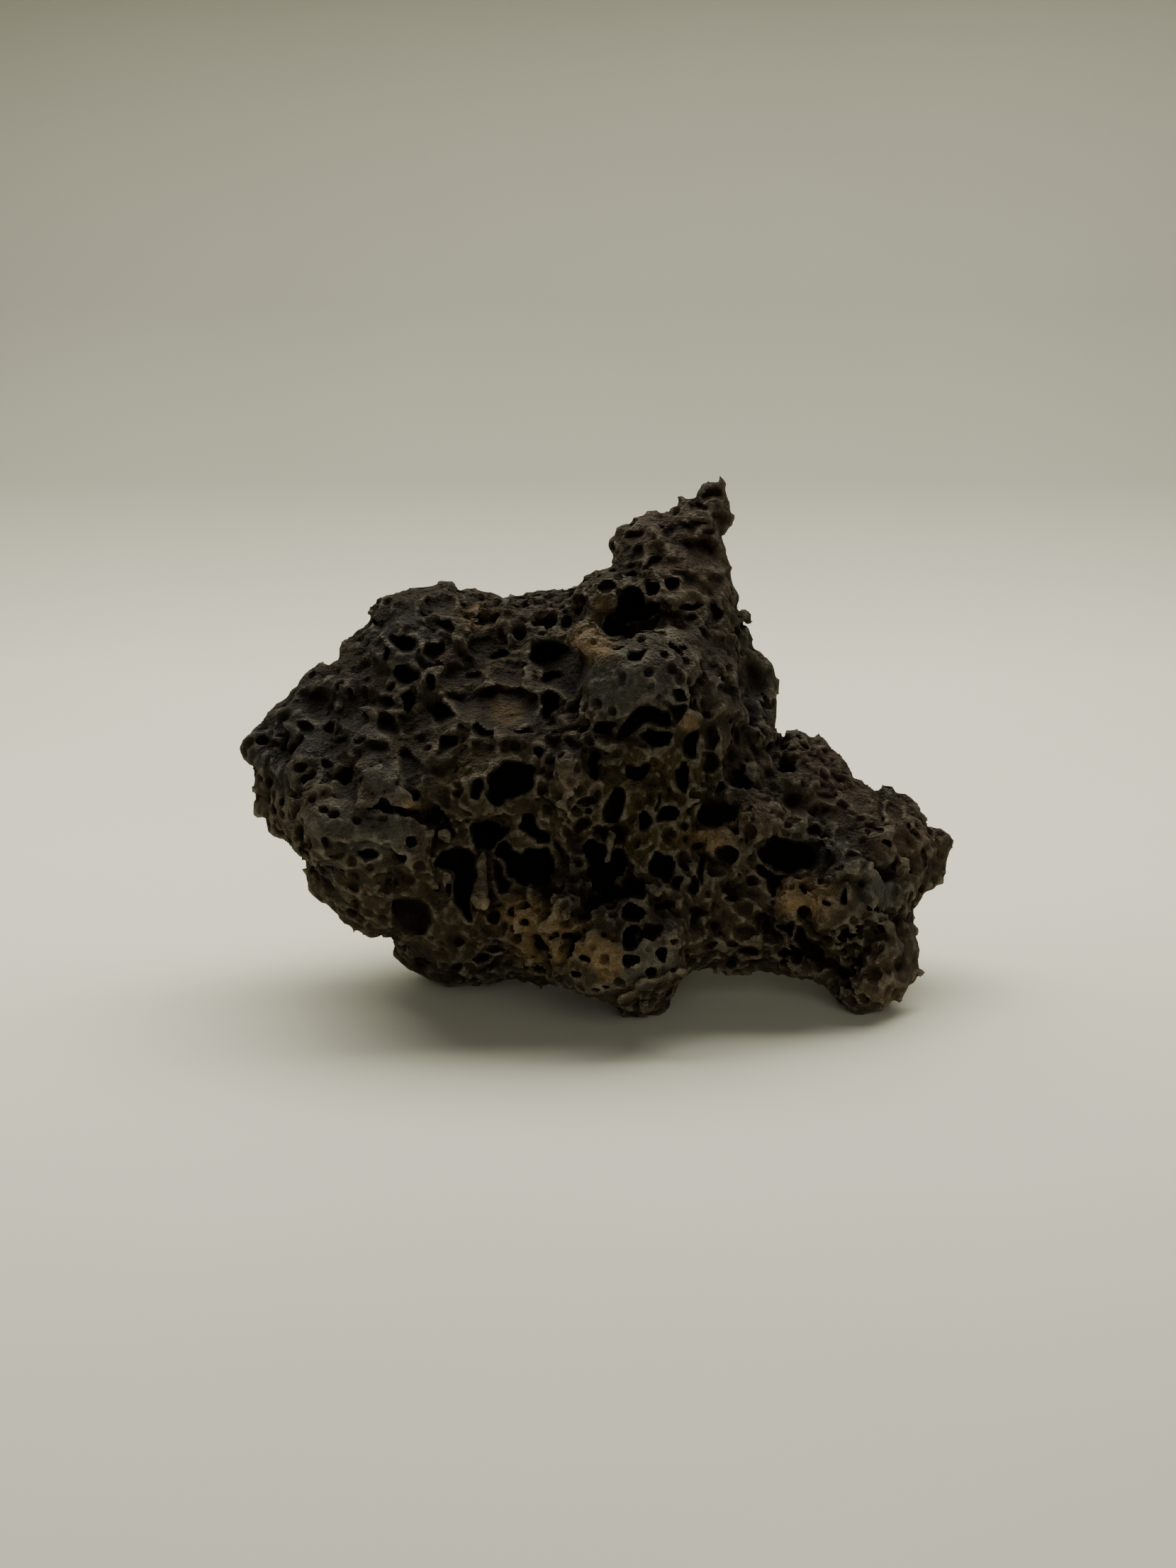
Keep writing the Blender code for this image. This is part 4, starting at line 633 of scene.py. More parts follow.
# the same for shallow dishes, whose bottoms are round
DISHES = [
    # upper left
    (1.3, [(-49.1, 79.1), (-47.7, 80), (-45.6, 81.1), (-45.1, 79.8), (-45.6, 77.7), (-46.5, 76.8),
           (-47.7, 77.7)]),
    (1.5, [(-44.9, 70.2), (-43.4, 70.7), (-43, 69.9), (-44, 69), (-44.9, 69.4)]),
    (1.2, [(-42.8, 64.4), (-41.6, 64.1), (-40.8, 63.2), (-41.3, 62.1), (-42.3, 62.9)]),
    (2, [(-47.4, 61.5), (-46.8, 63.6), (-44.6, 64.5), (-42.8, 62.7), (-42.2, 60.6), (-42.8, 58.7),
         (-44, 59), (-45.9, 60.2)]),
    (1.3, [(-52.6, 58.7), (-51.7, 59.5), (-49.7, 59.6), (-50.3, 58.1), (-52.3, 57.6)]),
    (1.6, [(-58.4, 56.4), (-56.9, 58.4), (-54.7, 59.5), (-53.8, 58.7), (-54.1, 56.6), (-54.9, 55),
           (-56.6, 55.4)]),
    (1.3, [(-59, 53.8), (-57.2, 54.3), (-55.7, 53.5), (-56.9, 52.4), (-58.4, 52.9)]),
    (2.4, [(-64.8, 67.6), (-63.6, 68.8), (-60.9, 69.4), (-57.8, 69.7), (-56, 67.9), (-56.1, 66.1),
           (-56.9, 64.5), (-58.4, 62.9), (-60.9, 63), (-62.7, 64.5), (-64.5, 65.5)]),
    (2, [(-64.8, 61.8), (-63.6, 63.3), (-61.8, 62.1), (-60.6, 60.9), (-61.2, 59.3), (-63.6, 60.2)]),
    (1.5, [(-52.9, 68.2), (-52, 69.6), (-50.5, 69.9), (-49.4, 68.8), (-51.1, 68.4), (-52.9, 66.7)]),
    (1.3, [(-51.7, 71.3), (-50.8, 72.3), (-48.3, 72.5), (-48, 70.7), (-50.5, 70.3)]),
    (1, [(-49.2, 75.6), (-47.4, 74), (-45.6, 72.2), (-47.1, 72.8), (-48.9, 74.3)]),
    (1.5, [(-70.7, 53.5), (-69.1, 55), (-67, 54.7), (-67.3, 53.2), (-68.2, 51.8), (-70, 52.6)]),
    (2.2, [(-56.9, 49.2), (-55.3, 52.3), (-52.9, 53.5), (-50.5, 52.9), (-50.3, 50.1), (-51.1, 47.4),
           (-52, 46.2), (-54.7, 45.9), (-56.6, 47.1)]),
    (1.8, [(-53.8, 54.4), (-52, 57.5), (-48.9, 59), (-44.9, 58.4), (-43.7, 56.3), (-44.3, 53.5),
           (-46.5, 54.1), (-48.6, 52.9), (-50.5, 52.3)]),
    (2, [(-37.3, 89), (-34, 89.5), (-31, 89.3), (-30.3, 87.3), (-31.5, 85.5), (-34.5, 85.3),
         (-37.5, 86.5)]),
    (1.6, [(-34.8, 83.5), (-33, 84.3), (-31.2, 84.2), (-30.8, 82), (-31.3, 81.2), (-33.2, 81.8)]),
    (1.5, [(-29.8, 88.2), (-28, 87.8), (-25.8, 87.5), (-26.4, 86.2), (-28.5, 85.8)]),
    (1.5, [(-37.2, 71.5), (-36, 72.8), (-34.6, 72.3), (-34.6, 70), (-36, 69.5)]),
    (1.7, [(-34.3, 72.2), (-33.1, 74.6), (-29.8, 75.9), (-26.7, 75.6), (-24.6, 74.3), (-24.4, 71.6),
           (-26.7, 70.3), (-29.8, 69.7), (-33.1, 70.2)]),
    (1.6, [(-23.9, 74.6), (-20.6, 75.4), (-17.5, 74.9), (-16, 73.1), (-16, 70.3), (-18.7, 70.3),
           (-22.1, 71)]),
    (2.6, [(-32.2, 68.5), (-29.8, 69.4), (-26.7, 69.7), (-22.4, 70.3), (-17.5, 70.3), (-14.8, 69.1),
           (-12.3, 67.6), (-12.6, 65.5), (-13.2, 63.3), (-16, 62.4), (-20, 61.2), (-23.6, 61.5),
           (-25.8, 62.7), (-26.7, 64.5), (-28.8, 63.9), (-30.1, 64.8), (-31.9, 66.4)]),
    (1.5, [(-18.7, 61), (-16, 61.2), (-13.2, 61.2), (-14.5, 60.2), (-16.9, 60)]),
    (1.5, [(-36.9, 50.8), (-35.6, 53.2), (-32.8, 54.1), (-29.8, 53.7), (-28.5, 52.3), (-29.1, 50.1),
           (-31.3, 49.2), (-34.3, 48.9)]),
    (1.5, [(-31.4, 46.8), (-31, 48), (-28.7, 48.9), (-28.7, 47.5), (-29.8, 46.3)]),
    (1.2, [(-10.8, 60.2), (-9.9, 61.2), (-8, 60.9), (-8.6, 59.9)]),
    (1.2, [(-13.5, 48.6), (-12.6, 49.4), (-10.9, 49.2), (-11.4, 47.7), (-13.1, 47.4)]),
    (2, [(-58, 75.5), (-55, 76.8), (-52, 75.8), (-52.5, 73.6), (-55.5, 72.6), (-58, 73.4)]),
    (1.5, [(-48.5, 67.3), (-46.5, 68.2), (-43.6, 67.8), (-43.4, 65.9), (-45.4, 65), (-48, 65.6)]),
    (1.6, [(-56, 63.2), (-53.6, 65.2), (-50, 65), (-48.6, 62.8), (-50, 60.8), (-53.6, 60.6)]),
    (1.4, [(-44, 87.6), (-41.6, 88.8), (-39, 87.4), (-39.6, 84.4), (-42, 83.6), (-44.6, 85)]),
    (1.2, [(-28, 57.6), (-25.6, 57.8), (-22.4, 58.2), (-21.6, 56.2), (-24.4, 53.6), (-27.6, 54.4)]),
    # upper middle and the peak
    (5, [(2.07, 84.1), (3, 86), (4.2, 89), (5.1, 91.2), (7.6, 91.8), (9.1, 90.2), (10, 88.4), (10.6, 87.5),
         (12.8, 88.1), (12.8, 86.9), (12.5, 85.3), (11.3, 83.5), (9.9, 82.3), (8.2, 82.9), (6.7, 82.6),
         (6.05, 80), (4.8, 80), (3.4, 80.3), (2.1, 82.3)]),
    (1.2, [(13.4, 83.8), (13.7, 85.3), (15.5, 86.4), (16.8, 86.1), (17.4, 85), (17.7, 83.8), (17.1, 83.05),
           (13.7, 83.05)]),
    (1.7, [(17.7, 84.9), (18.9, 85.5), (20.4, 85.7), (21.4, 85.2), (21.1, 84.4), (19.8, 83.5),
           (18.9, 83.4)]),
    (1.9, [(21.8, 78), (22.3, 78.6), (23.5, 78.6), (24.4, 78), (25, 76.8), (24.9, 75.9), (23.5, 76),
           (22.3, 76.2)]),
    (1.9, [(22.6, 74.9), (25, 74.9), (25.2, 74), (24.4, 73.1), (23.2, 72.2), (22.6, 73.1)]),
    (1.4, [(24.3, 80.8), (26.3, 80.9), (26.6, 79.5), (26.3, 78.3), (24.9, 78.3)]),
    (1.2, [(15.7, 69.3), (17.4, 69.6), (18.8, 68.8), (18.9, 67.6), (18, 67), (16.1, 67.3), (15.5, 68.2)]),
    (2.8, [(13.1, 66.4), (16.1, 66.7), (18, 66.4), (18.6, 65.5), (18.4, 64.5), (17.4, 63.9), (16.5, 62.7),
           (16.1, 60.9), (15.5, 61.2), (15, 64)]),
    (1.6, [(20.7, 64.8), (22, 65), (23, 64.7), (22.6, 63.9), (21.5, 63.9)]),
    (0.8, [(18.8, 63.3), (19.8, 64.2), (20.8, 63.3), (19.8, 62.2)]),
    (1.5, [(10.9, 54.1), (12.5, 54), (12.8, 52.9), (11.3, 53.3)]),
    (1.6, [(10, 49.8), (11.3, 50.1), (12.5, 49.8), (13.1, 49.2), (11.9, 48.5), (10.6, 48.5)]),
    (1.4, [(15.4, 94.7), (19.8, 94.7), (21.3, 94.2), (23, 90.6), (19, 90.2), (17.6, 90.6), (17.4, 93.3),
           (15.1, 93.9)]),
    (1.2, [(22.4, 94.4), (26.8, 94.2), (27.4, 91.6), (24.6, 90.4), (23.4, 91)]),
    (2.2, [(15, 101.2), (18, 102.6), (22, 102.6), (25.2, 101), (26.4, 98), (25.6, 96), (22, 95.4),
           (19.6, 96.2), (18.4, 98), (15.6, 99.4)]),
    (1.4, [(-0.6, 91.8), (1, 92.6), (3.4, 92.4), (3.8, 91), (2, 90.4), (0, 90.6)]),
    (1.4, [(21.1, 111.25), (22.1, 111.8), (24.5, 112.4), (27.1, 112.7), (27.3, 110.4), (25.7, 109.9),
           (23.3, 109.8), (21.4, 109.3)]),
    (1.2, [(18.9, 106.2), (20.1, 105.65), (21.8, 105.5), (22.9, 105.65), (22.7, 105.1), (20.1, 104.6),
           (19.2, 105.1)]),
    (1.2, [(13.4, 103.8), (16, 105.2), (19.4, 104.6), (20.4, 103.4), (17.4, 102.6), (14.4, 102)]),
    (1, [(22.1, 103.3), (23.3, 103.7), (24.5, 103.6), (24.5, 102.7), (23.3, 102), (22.1, 102.4)]),
    (1, [(16.8, 99.5), (17.7, 99.5), (18.3, 98.6), (17.4, 97.7), (16.5, 98)]),
    (1.3, [(24, 107), (25.4, 107.4), (27.4, 106.6), (28, 104.6), (26.6, 103.2), (25.2, 104.4)]),
    (1.4, [(5, 100.05), (6.8, 100.05), (6.8, 98.9), (5.6, 98.3), (4.75, 98.9)]),
    (1.5, [(5, 102.7), (7.7, 103.3), (9.8, 103), (8, 101.5), (6.5, 100.9), (5.3, 101.2)]),
    (0.9, [(10.05, 107.1), (11.5, 107.6), (12.7, 107.1), (13, 106.2), (11.5, 105.8), (10.35, 106.4)]),
    (1.5, [(5.9, 95.3), (6.8, 96.5), (8, 96.2), (8.6, 95.9), (7.1, 95), (6.2, 94.7)]),
    (1.2, [(7, 99.8), (9.4, 100.4), (9.8, 98), (8.6, 96.8), (7, 97.4)]),
    (1.2, [(9.4, 92), (11.4, 92.8), (13.2, 92), (12.8, 90), (10.6, 89.4)]),
    # right flank
    (3, [(29.6, 79.2), (30.2, 79.8), (31.2, 77.7), (32.4, 76.5), (33.9, 75.9), (35.4, 74.6), (36.7, 73.4),
         (37, 71), (36.8, 68.5), (36.4, 66.4), (35.1, 67.3), (32.8, 66.8), (29.9, 66.7), (29.9, 70.3),
         (29.8, 74.6)]),
    (1.4, [(22.2, 62), (24, 63), (25.3, 60), (25, 57.2), (24.1, 56.6), (22.6, 56.9), (21.7, 59)]),
    (1.2, [(25.8, 63.4), (28.6, 64), (29.8, 61), (29.6, 56.6), (28.6, 53.2), (26.8, 54.4), (26, 58)]),
    # lower left
    (1.5, [(-59.1, 38.3), (-58.1, 38.6), (-57.6, 37.9), (-57, 36.8), (-57.3, 35.9), (-58.1, 36.2),
           (-58.8, 37.3)]),
    (1.4, [(-57, 34.2), (-56.2, 34.8), (-54.5, 35.1), (-53.9, 34.5), (-54.8, 33.7), (-56.6, 33.4)]),
    (1.6, [(-53.9, 34.4), (-52.9, 34.7), (-51.9, 34.1), (-51.5, 33.1), (-51.8, 32), (-52.6, 31.4),
           (-53.5, 31.8)]),
    (2.6, [(-59.95, 32.3), (-59.25, 33), (-57.8, 33.1), (-56.2, 33), (-55, 32.3), (-54.2, 31.4),
           (-53.8, 30.3), (-53.9, 29.2), (-54.5, 28.3), (-55.6, 28.75), (-57, 29.2), (-58.4, 29.7),
           (-59.7, 30.2)]),
    (1.2, [(-60.7, 29.2), (-60.1, 29.6), (-59, 29.2), (-58.4, 28.3), (-59, 27.35), (-59.95, 27.2),
           (-60.7, 27.8)]),
    (2, [(-57.4, 26.8), (-56.7, 27.2), (-55.45, 27.2), (-54.9, 26.65), (-54.6, 25.5), (-53.9, 24.3),
         (-53.9, 23.8), (-54.75, 24), (-55.7, 24.7), (-56.7, 25.5)]),
    (2, [(-49.55, 19.2), (-48.6, 19.3), (-47.4, 18.8), (-46.3, 17.9), (-45.3, 16.9), (-46.6, 16.2),
         (-48, 17.4)]),
    (2, [(-45.75, 24.25), (-44.6, 24.7), (-43.8, 23.8), (-43.8, 22.1), (-44.9, 21.9), (-45.9, 23.3)]),
    (1.6, [(-35.1, 40.4), (-34.2, 40.4), (-34, 38), (-34.2, 36.2), (-34.9, 36.2), (-34.8, 38)]),
    (1.8, [(-33.2, 17.6), (-32.25, 17.9), (-30, 17.6), (-28.6, 17.4), (-27.75, 16.2), (-28.3, 14.8),
           (-29.4, 14.3), (-30.85, 14.3), (-31.4, 13.4), (-32.5, 12.9), (-33.4, 14), (-33.7, 15.7)]),
    (1.5, [(-53.4, 29.6), (-51.6, 30.6), (-50.2, 29.6), (-50.4, 27.4), (-52.4, 26.6), (-53.4, 27.6)]),
    (1.4, [(-42.6, 14.6), (-40, 15.8), (-36.4, 15.6), (-34.6, 13.4), (-35.4, 10.6), (-38.4, 9.2),
           (-41.4, 11.2)]),
    (1, [(-50.6, 24.6), (-48, 25.6), (-46.4, 24), (-47.4, 21.4), (-49.8, 21)]),
    (3, [(-23.1, 34.8), (-22.4, 34.2), (-21.6, 33.7), (-20.5, 32.55), (-19.6, 30.3), (-18.2, 28.6),
         (-18.5, 26.9), (-19.6, 25.8), (-21, 25.2), (-21.9, 25.8), (-22.4, 28.05), (-22.7, 30.3),
         (-23.1, 32.55)]),
    (1.2, [(-12.3, 25.8), (-11.5, 26.1), (-10.5, 23.8), (-10.6, 22.1), (-11.2, 21), (-11.9, 21),
           (-12.7, 24.1)]),
    (2.5, [(-14.3, 11.2), (-12.3, 11.5), (-10.6, 11.2), (-10.05, 9.8), (-11.2, 8.65), (-12.9, 8.4),
           (-14, 9.5)]),
    (1.4, [(-6, 21.3), (-4.7, 22.4), (-3.3, 22.7), (-1.9, 22.15), (-1.5, 21), (-2.5, 20.2),
           (-4.15, 19.9)]),
    (1, [(-1.75, 24.4), (-0.5, 25), (-1.3, 23.8), (-1.75, 23.3)]),
    (1.9, [(9.1, 18.2), (9.9, 19.3), (11.3, 19.6), (13, 19.05), (13.6, 18.2), (12.7, 17.1), (11.3, 16.2),
           (9.9, 16.5)]),
    (1.5, [(11.7, 13.15), (12.4, 14.3), (13.85, 14.55), (14.55, 13.4), (14.1, 11.5), (13, 11.7)]),
    (1, [(5.1, 12.3), (6.3, 13.15), (7.9, 12.9), (8.5, 11.7), (7.1, 10.6), (5.4, 10.3)]),
    (1.5, [(-12.3, 43.9), (-11.2, 44.4), (-10.05, 43.5), (-8.6, 42.8), (-8.4, 42.25), (-10.05, 42.4),
           (-11.5, 42.7)]),
    (2, [(-3.3, 44.4), (-1.9, 44.6), (-1.6, 43.2), (-2.7, 43)]),
    # lower right
    (1.3, [(13.1, 37.9), (13.7, 39.3), (15.1, 40.1), (16.2, 39.6), (16.2, 38.2), (15.1, 36.5),
           (14.5, 36.2)]),
    (1.4, [(19, 36.2), (19.6, 37.3), (21.3, 37.6), (22.4, 36.8), (22.4, 35.4), (21.3, 34.8),
           (20.2, 34.5)]),
    (1.4, [(24.4, 35.8), (27, 36.6), (29.6, 35.2), (29.4, 32.8), (26.8, 32), (24.6, 33.2)]),
    (1.4, [(28, 24.4), (30, 25), (32.2, 24.4), (32.8, 22.7), (33.65, 20.7), (32.2, 20.3), (30.6, 20.7),
           (28.9, 21.6)]),
    (1.3, [(27.4, 19.6), (30.4, 19.8), (34, 19.4), (34.4, 17.2), (31.4, 15.6), (28.2, 16.6)]),
    (1.5, [(27.05, 15.7), (28.9, 16), (30, 14.8), (28.9, 14.3), (27.75, 14.55)]),
    (1.8, [(42.4, 23), (43.8, 23), (44.9, 22.4), (45.2, 20.7), (44.3, 19.05), (42.9, 19.6), (41.8, 20.7)]),
    (1.8, [(45.2, 43.5), (47.2, 44.6), (49.7, 44.6), (50.8, 42.7), (51.4, 40.7), (49.7, 40.1), (48.3, 39.6),
           (46.3, 40.4), (44.3, 40.4)]),
    (1.5, [(45.5, 46.7), (47.7, 47.6), (50.1, 47.2), (50.9, 45.5), (49.7, 44.8), (47.7, 45.1)]),
    (1.2, [(47.4, 57.8), (49.4, 57.4), (50.6, 54.8), (49.6, 52.6), (47.4, 53), (46.6, 55.4)]),
    (1, [(60.6, 49.2), (62.2, 49.4), (63.4, 48.4), (62.6, 47.2), (61, 47.2)]),
    (1.3, [(60.6, 44.3), (63.5, 44.7), (64.7, 43.1), (64.3, 41.1), (62.2, 41.1)]),
    (1.2, [(65.7, 44.3), (67.5, 44.3), (67.9, 43.1), (66.7, 42.3), (65.7, 42.9)]),
    (1.2, [(62.2, 38.3), (64.3, 39.1), (65.9, 38.3), (66.3, 36.7), (65.1, 35), (63.5, 35.4)]),
    (1.2, [(70.3, 36.3), (71.9, 37.1), (73.5, 36.3), (73.1, 35), (71.5, 35)]),
    (0.9, [(70.5, 34), (71.5, 34.6), (72.5, 33.8), (72.1, 32.8), (70.9, 33)]),
    (1.2, [(54, 46.8), (56.4, 47.2), (58, 45.4), (57.4, 42.8), (55.4, 42.4), (53.8, 44.4)]),
    (1.4, [(56.8, 29.6), (60.6, 30.4), (63.2, 28.6), (63.4, 25), (60.6, 23), (57.4, 24)]),
    (1.2, [(62.8, 10.4), (64.3, 11.2), (64.9, 9.6), (64.3, 6.8), (63, 7.6)]),
    (1.2, [(64.8, 16.6), (66.8, 16.8), (67.6, 13.6), (67.2, 10.4), (65.8, 10.8), (65.2, 13.6)]),
    (1.3, [(56, 10.8), (58.4, 11.2), (60.6, 10), (60.4, 7.6), (58, 6.8), (56, 8.2)]),
    (1.2, [(51.4, 18.6), (53.6, 19), (55.4, 17.4), (55.4, 14.6), (53.4, 13.6), (51.6, 15.6)]),
]
# (across, up and radius at one end and at the other, lift above the front)
RODS = [
    (-24.6, 34.5, 0.5, -25.2, 24.5, 1.9, 1.6), (2.6, 38.5, 0.8, 2.0, 33.6, 0.4, 2.0),
    (19.7, 63.1, 1.4, 19.6, 63.3, 1.4, 0.7), (4.5, 3.2, 0.5, 9.1, 6.5, 0.5, 2.4),
    (9.1, 6.5, 0.5, 18.4, 9.6, 0.5, 2.4),
    (61.5, 19.0, 0.7, 63.5, 14.5, 0.8, 0.4), (63.5, 14.5, 0.8, 59.5, 12.2, 0.6, 0.4),
]
STEEP_WALL, ROUND_WALL, NARROW_SHARE = 1.7, 2.8, 0.45
LEAN = 0.5
EDGE_SLOPE = 0.7
MARGIN = 5.0
WARP_WIDTH, WARP, WARP_FULL_AT, WARP_MOST = 4.5, 0.32, 2.0, 1.5
EGG_MARGIN = 1.5
hollow = np.full(SHAPE, -OUTSIDE, dtype=np.float32)
gap_map = np.full(SHAPE[:2], MARGIN, dtype=np.float32)
warps = [noise(WARP_WIDTH, seed=40 + axis) * WARP for axis in range(3)]


def carve_drawn(rows, wall):
    """Cut each outline into the front along the line of sight. Its floor falls off as
    depth (1 - (1 - inset / wall)^2) and leans, so that it is deeper under its upper rim."""
    for depth, points in rows:
        ring = rounded(points)
        low, high = ring.min(axis=0), ring.max(axis=0)
        first = np.maximum(((low - MARGIN - ORIGIN[:2]) / CELL).astype(int), 0)
        last = ((high + MARGIN - ORIGIN[:2]) / CELL).astype(int) + 2
        window = (slice(first[0], last[0]), slice(first[1], last[1]))
        inset = outline_inset(ring, wavy_across[window], wavy_up[window])
        share = np.clip(inset / min(wall, (high - low).min() * NARROW_SHARE), 0.0, 1.0)
        rise = (flat_up[window] - (low[1] + high[1]) / 2) / (high[1] - low[1])
        deepest = np.minimum(depth * (1.0 + LEAN * rise), np.maximum(inset_map[window], 0.0) * EDGE_SLOPE)
        floor = calm_front[window] + deepest * (1.0 - (1.0 - share) ** 2)
        inside = np.minimum(inset[:, :, None], floor[:, :, None] - back_grid)
        np.maximum(hollow[window], inside, out=hollow[window])
        np.minimum(gap_map[window], -inset, out=gap_map[window])


def carve_egg(middle, half_sizes, turn, wobble):
    """hollow = max(hollow, (1 - length in half sizes) x least half size + wobble x crests)."""
    reach = max(half_sizes) + EGG_MARGIN
    first = np.maximum(((middle - reach - ORIGIN) / CELL).astype(int), 0)
    last = np.minimum(((middle + reach - ORIGIN) / CELL).astype(int) + 2, SHAPE)
    if (first >= last).any():
        return
    window = tuple(slice(a, b) for a, b in zip(first, last))
    offset = [axis[part] - place for axis, part, place in zip(AXES, window, middle)]
    strength = min(min(half_sizes) / WARP_FULL_AT, WARP_MOST)
    dx, dy, dz = (o.reshape([-1 if i == j else 1 for j in range(3)]) + warps[i][window] * strength
                  for i, o in enumerate(offset))
    squared = 0.0
    for row, half in zip(turn, half_sizes):
        squared = squared + ((dx * row[0] + dy * row[1] + dz * row[2]) / half) ** 2
    inside = (1.0 - np.sqrt(squared)) * min(half_sizes) + crests[window] * wobble
    np.maximum(hollow[window], inside, out=hollow[window])


carve_drawn(CAVITIES, STEEP_WALL)
carve_drawn(DISHES, ROUND_WALL)
print("cavities:", len(CAVITIES), "dishes:", len(DISHES))

# %% The holes on the sides that the sitter doesn't see
HIDDEN_TRIES = 120
HIDDEN_RADII = (2.8, 5.6)
HIDDEN_SINK = (-0.2, 0.4)
HIDDEN_STRETCH, HIDDEN_WOBBLE, HIDDEN_APART = 1.1, 0.35, 1.05
HIDDEN_LOWEST, HIDDEN_FACING = 6.0, 0.05
SPIRAL_TURN = math.pi * (3.0 - math.sqrt(5.0))
SPIRAL_CENTRE = np.array([MOVED_X, MOVED_Y, 45.0])
SPIRAL_START = 120.0


def turn_about(axis, angle):
    """The 3x3 turn about one axis."""
    c, s = math.cos(angle), math.sin(angle)
    one, two = [i for i in range(3) if i != axis]
    turn = np.eye(3)
    turn[one, one], turn[two, two], turn[one, two], turn[two, one] = c, c, -s, s
    return turn


def field_at(field, places):
    """The field at the grid points nearest to places in the sitter's view."""
    index = ((places - ORIGIN) / CELL).round().astype(int)
    index = np.clip(index, 0, np.array(SHAPE) - 1)
    return field[tuple(index.T)]


def slope_at(field, place):
    """The outward direction at one place: the field's slope, scaled to length 1."""
    steps = np.eye(3) * CELL * 2
    slope = np.array([np.diff(field_at(field, np.array([place - step, place + step])))[0] for step in steps])
    return slope / (np.linalg.norm(slope) + 1e-9)


def carve_hidden():
    """Round holes on an even spiral of directions, where the body faces away from the seat."""
    chance = np.random.default_rng(8)
    radii = chance.uniform(*HIDDEN_RADII, size=HIDDEN_TRIES)
    sinks = chance.uniform(*HIDDEN_SINK, size=HIDDEN_TRIES)
    turns = chance.uniform(0.0, math.pi, size=(HIDDEN_TRIES, 3))
    taken = []
    for i in range(HIDDEN_TRIES):
        height = 1.0 - 2.0 * (i + 0.5) / HIDDEN_TRIES
        ring = math.sqrt(1.0 - height * height)
        way = np.array([ring * math.cos(i * SPIRAL_TURN), ring * math.sin(i * SPIRAL_TURN), height])
        walk = SPIRAL_CENTRE + np.arange(SPIRAL_START, 0.0, -CELL)[:, None] * way
        path = np.stack(to_view(*walk.T), axis=1)
        within = ((path > ORIGIN) & (path < ORIGIN + (np.array(SHAPE) - 1) * CELL)).all(axis=1)
        hits = np.flatnonzero(within & (field_at(body, path) < 0))
        if not len(hits) or walk[hits[0], 2] < HIDDEN_LOWEST:
            continue
        place = path[hits[0]]
        outward = slope_at(body, place)
        if outward[2] < HIDDEN_FACING:
            continue
        if any(np.linalg.norm(place - other) < (radii[i] + size) * HIDDEN_APART for other, size in taken):
            continue
        taken.append((place, radii[i]))
        turn = turn_about(0, turns[i, 0]) @ turn_about(1, turns[i, 1]) @ turn_about(2, turns[i, 2])
        half_sizes = (radii[i] * HIDDEN_STRETCH, radii[i], radii[i] / HIDDEN_STRETCH)
        carve_egg(place - outward * sinks[i] * radii[i], half_sizes, turn, HIDDEN_WOBBLE)
    print("large holes out of sight:", len(taken))
    return [(*place, size) for place, size in taken]


mouths = np.array(carve_hidden())

# %% Bowls, plates, sunk webs and crumbs
OUTER_SCOOPS, OUTER_REACH = [(8.0, 3.6), (3.9, 1.5)], 2.9
INNER_SCOOPS, INNER_REACH, INNER_CALM = [(3.3, 0.8), (1.8, 0.3)], 1.5, 0.6
SCOOP_MEAN, SCOOP_WARP = 0.36, 3.0
EDGE_WIDTH, OUTER_LEAST, INNER_LEAST = 3.5, 0.3, 0.35
BESIDE_SHARE, BESIDE_SLOPE = 0.3, 0.35
PLATE_SWELL, PLATE_CRESTS, PLATE_MELT = 0.5, 0.8, 0.8
SINK_WIDTH, SINK, SINK_BESIDE, SINK_INSET = 7.0, 1.0, 2.0, 6.0
FAR_AWAY = 9.0


def to_nearest_seed(places, width, seed):
    """The distance, in widths, to the nearest of seeds scattered one to each cube of the width."""
    spot = (places / width).astype(np.float32)
    cube = np.floor(spot).astype(int)
    lowest = cube.min(axis=0) - 1
    chance = np.random.default_rng(seed)
    seeds = chance.uniform(size=(*(cube.max(axis=0) + 2 - lowest), 3)).astype(np.float32)
    nearest = np.full(len(spot), FAR_AWAY, dtype=np.float32)
    for step in np.ndindex(3, 3, 3):
        other = cube + np.array(step) - 1
        offset = spot - other - seeds[tuple((other - lowest).T)]
        np.minimum(nearest, np.einsum("ij,ij->i", offset, offset), out=nearest)
    return np.sqrt(nearest)


def scooped(field, scoops, reach, share):
    """The field with a bowl sunk round every seed: + height (mean - distance^2), for each width
    and height, in the band within reach of the surface."""
    near = np.abs(field) < reach
    places = ORIGIN + np.argwhere(near) * CELL
    places = places + np.stack([warp[near] for warp in warps], axis=1) * SCOOP_WARP
    bite = 0.0
    for width, height in scoops:
        bite = bite + (SCOOP_MEAN - to_nearest_seed(places, width, seed=int(width * 10)) ** 2) * height
    field[near] += bite * np.broadcast_to(share[:, :, None], SHAPE)[near]
    print("scooped grid points:", len(places))
    return field


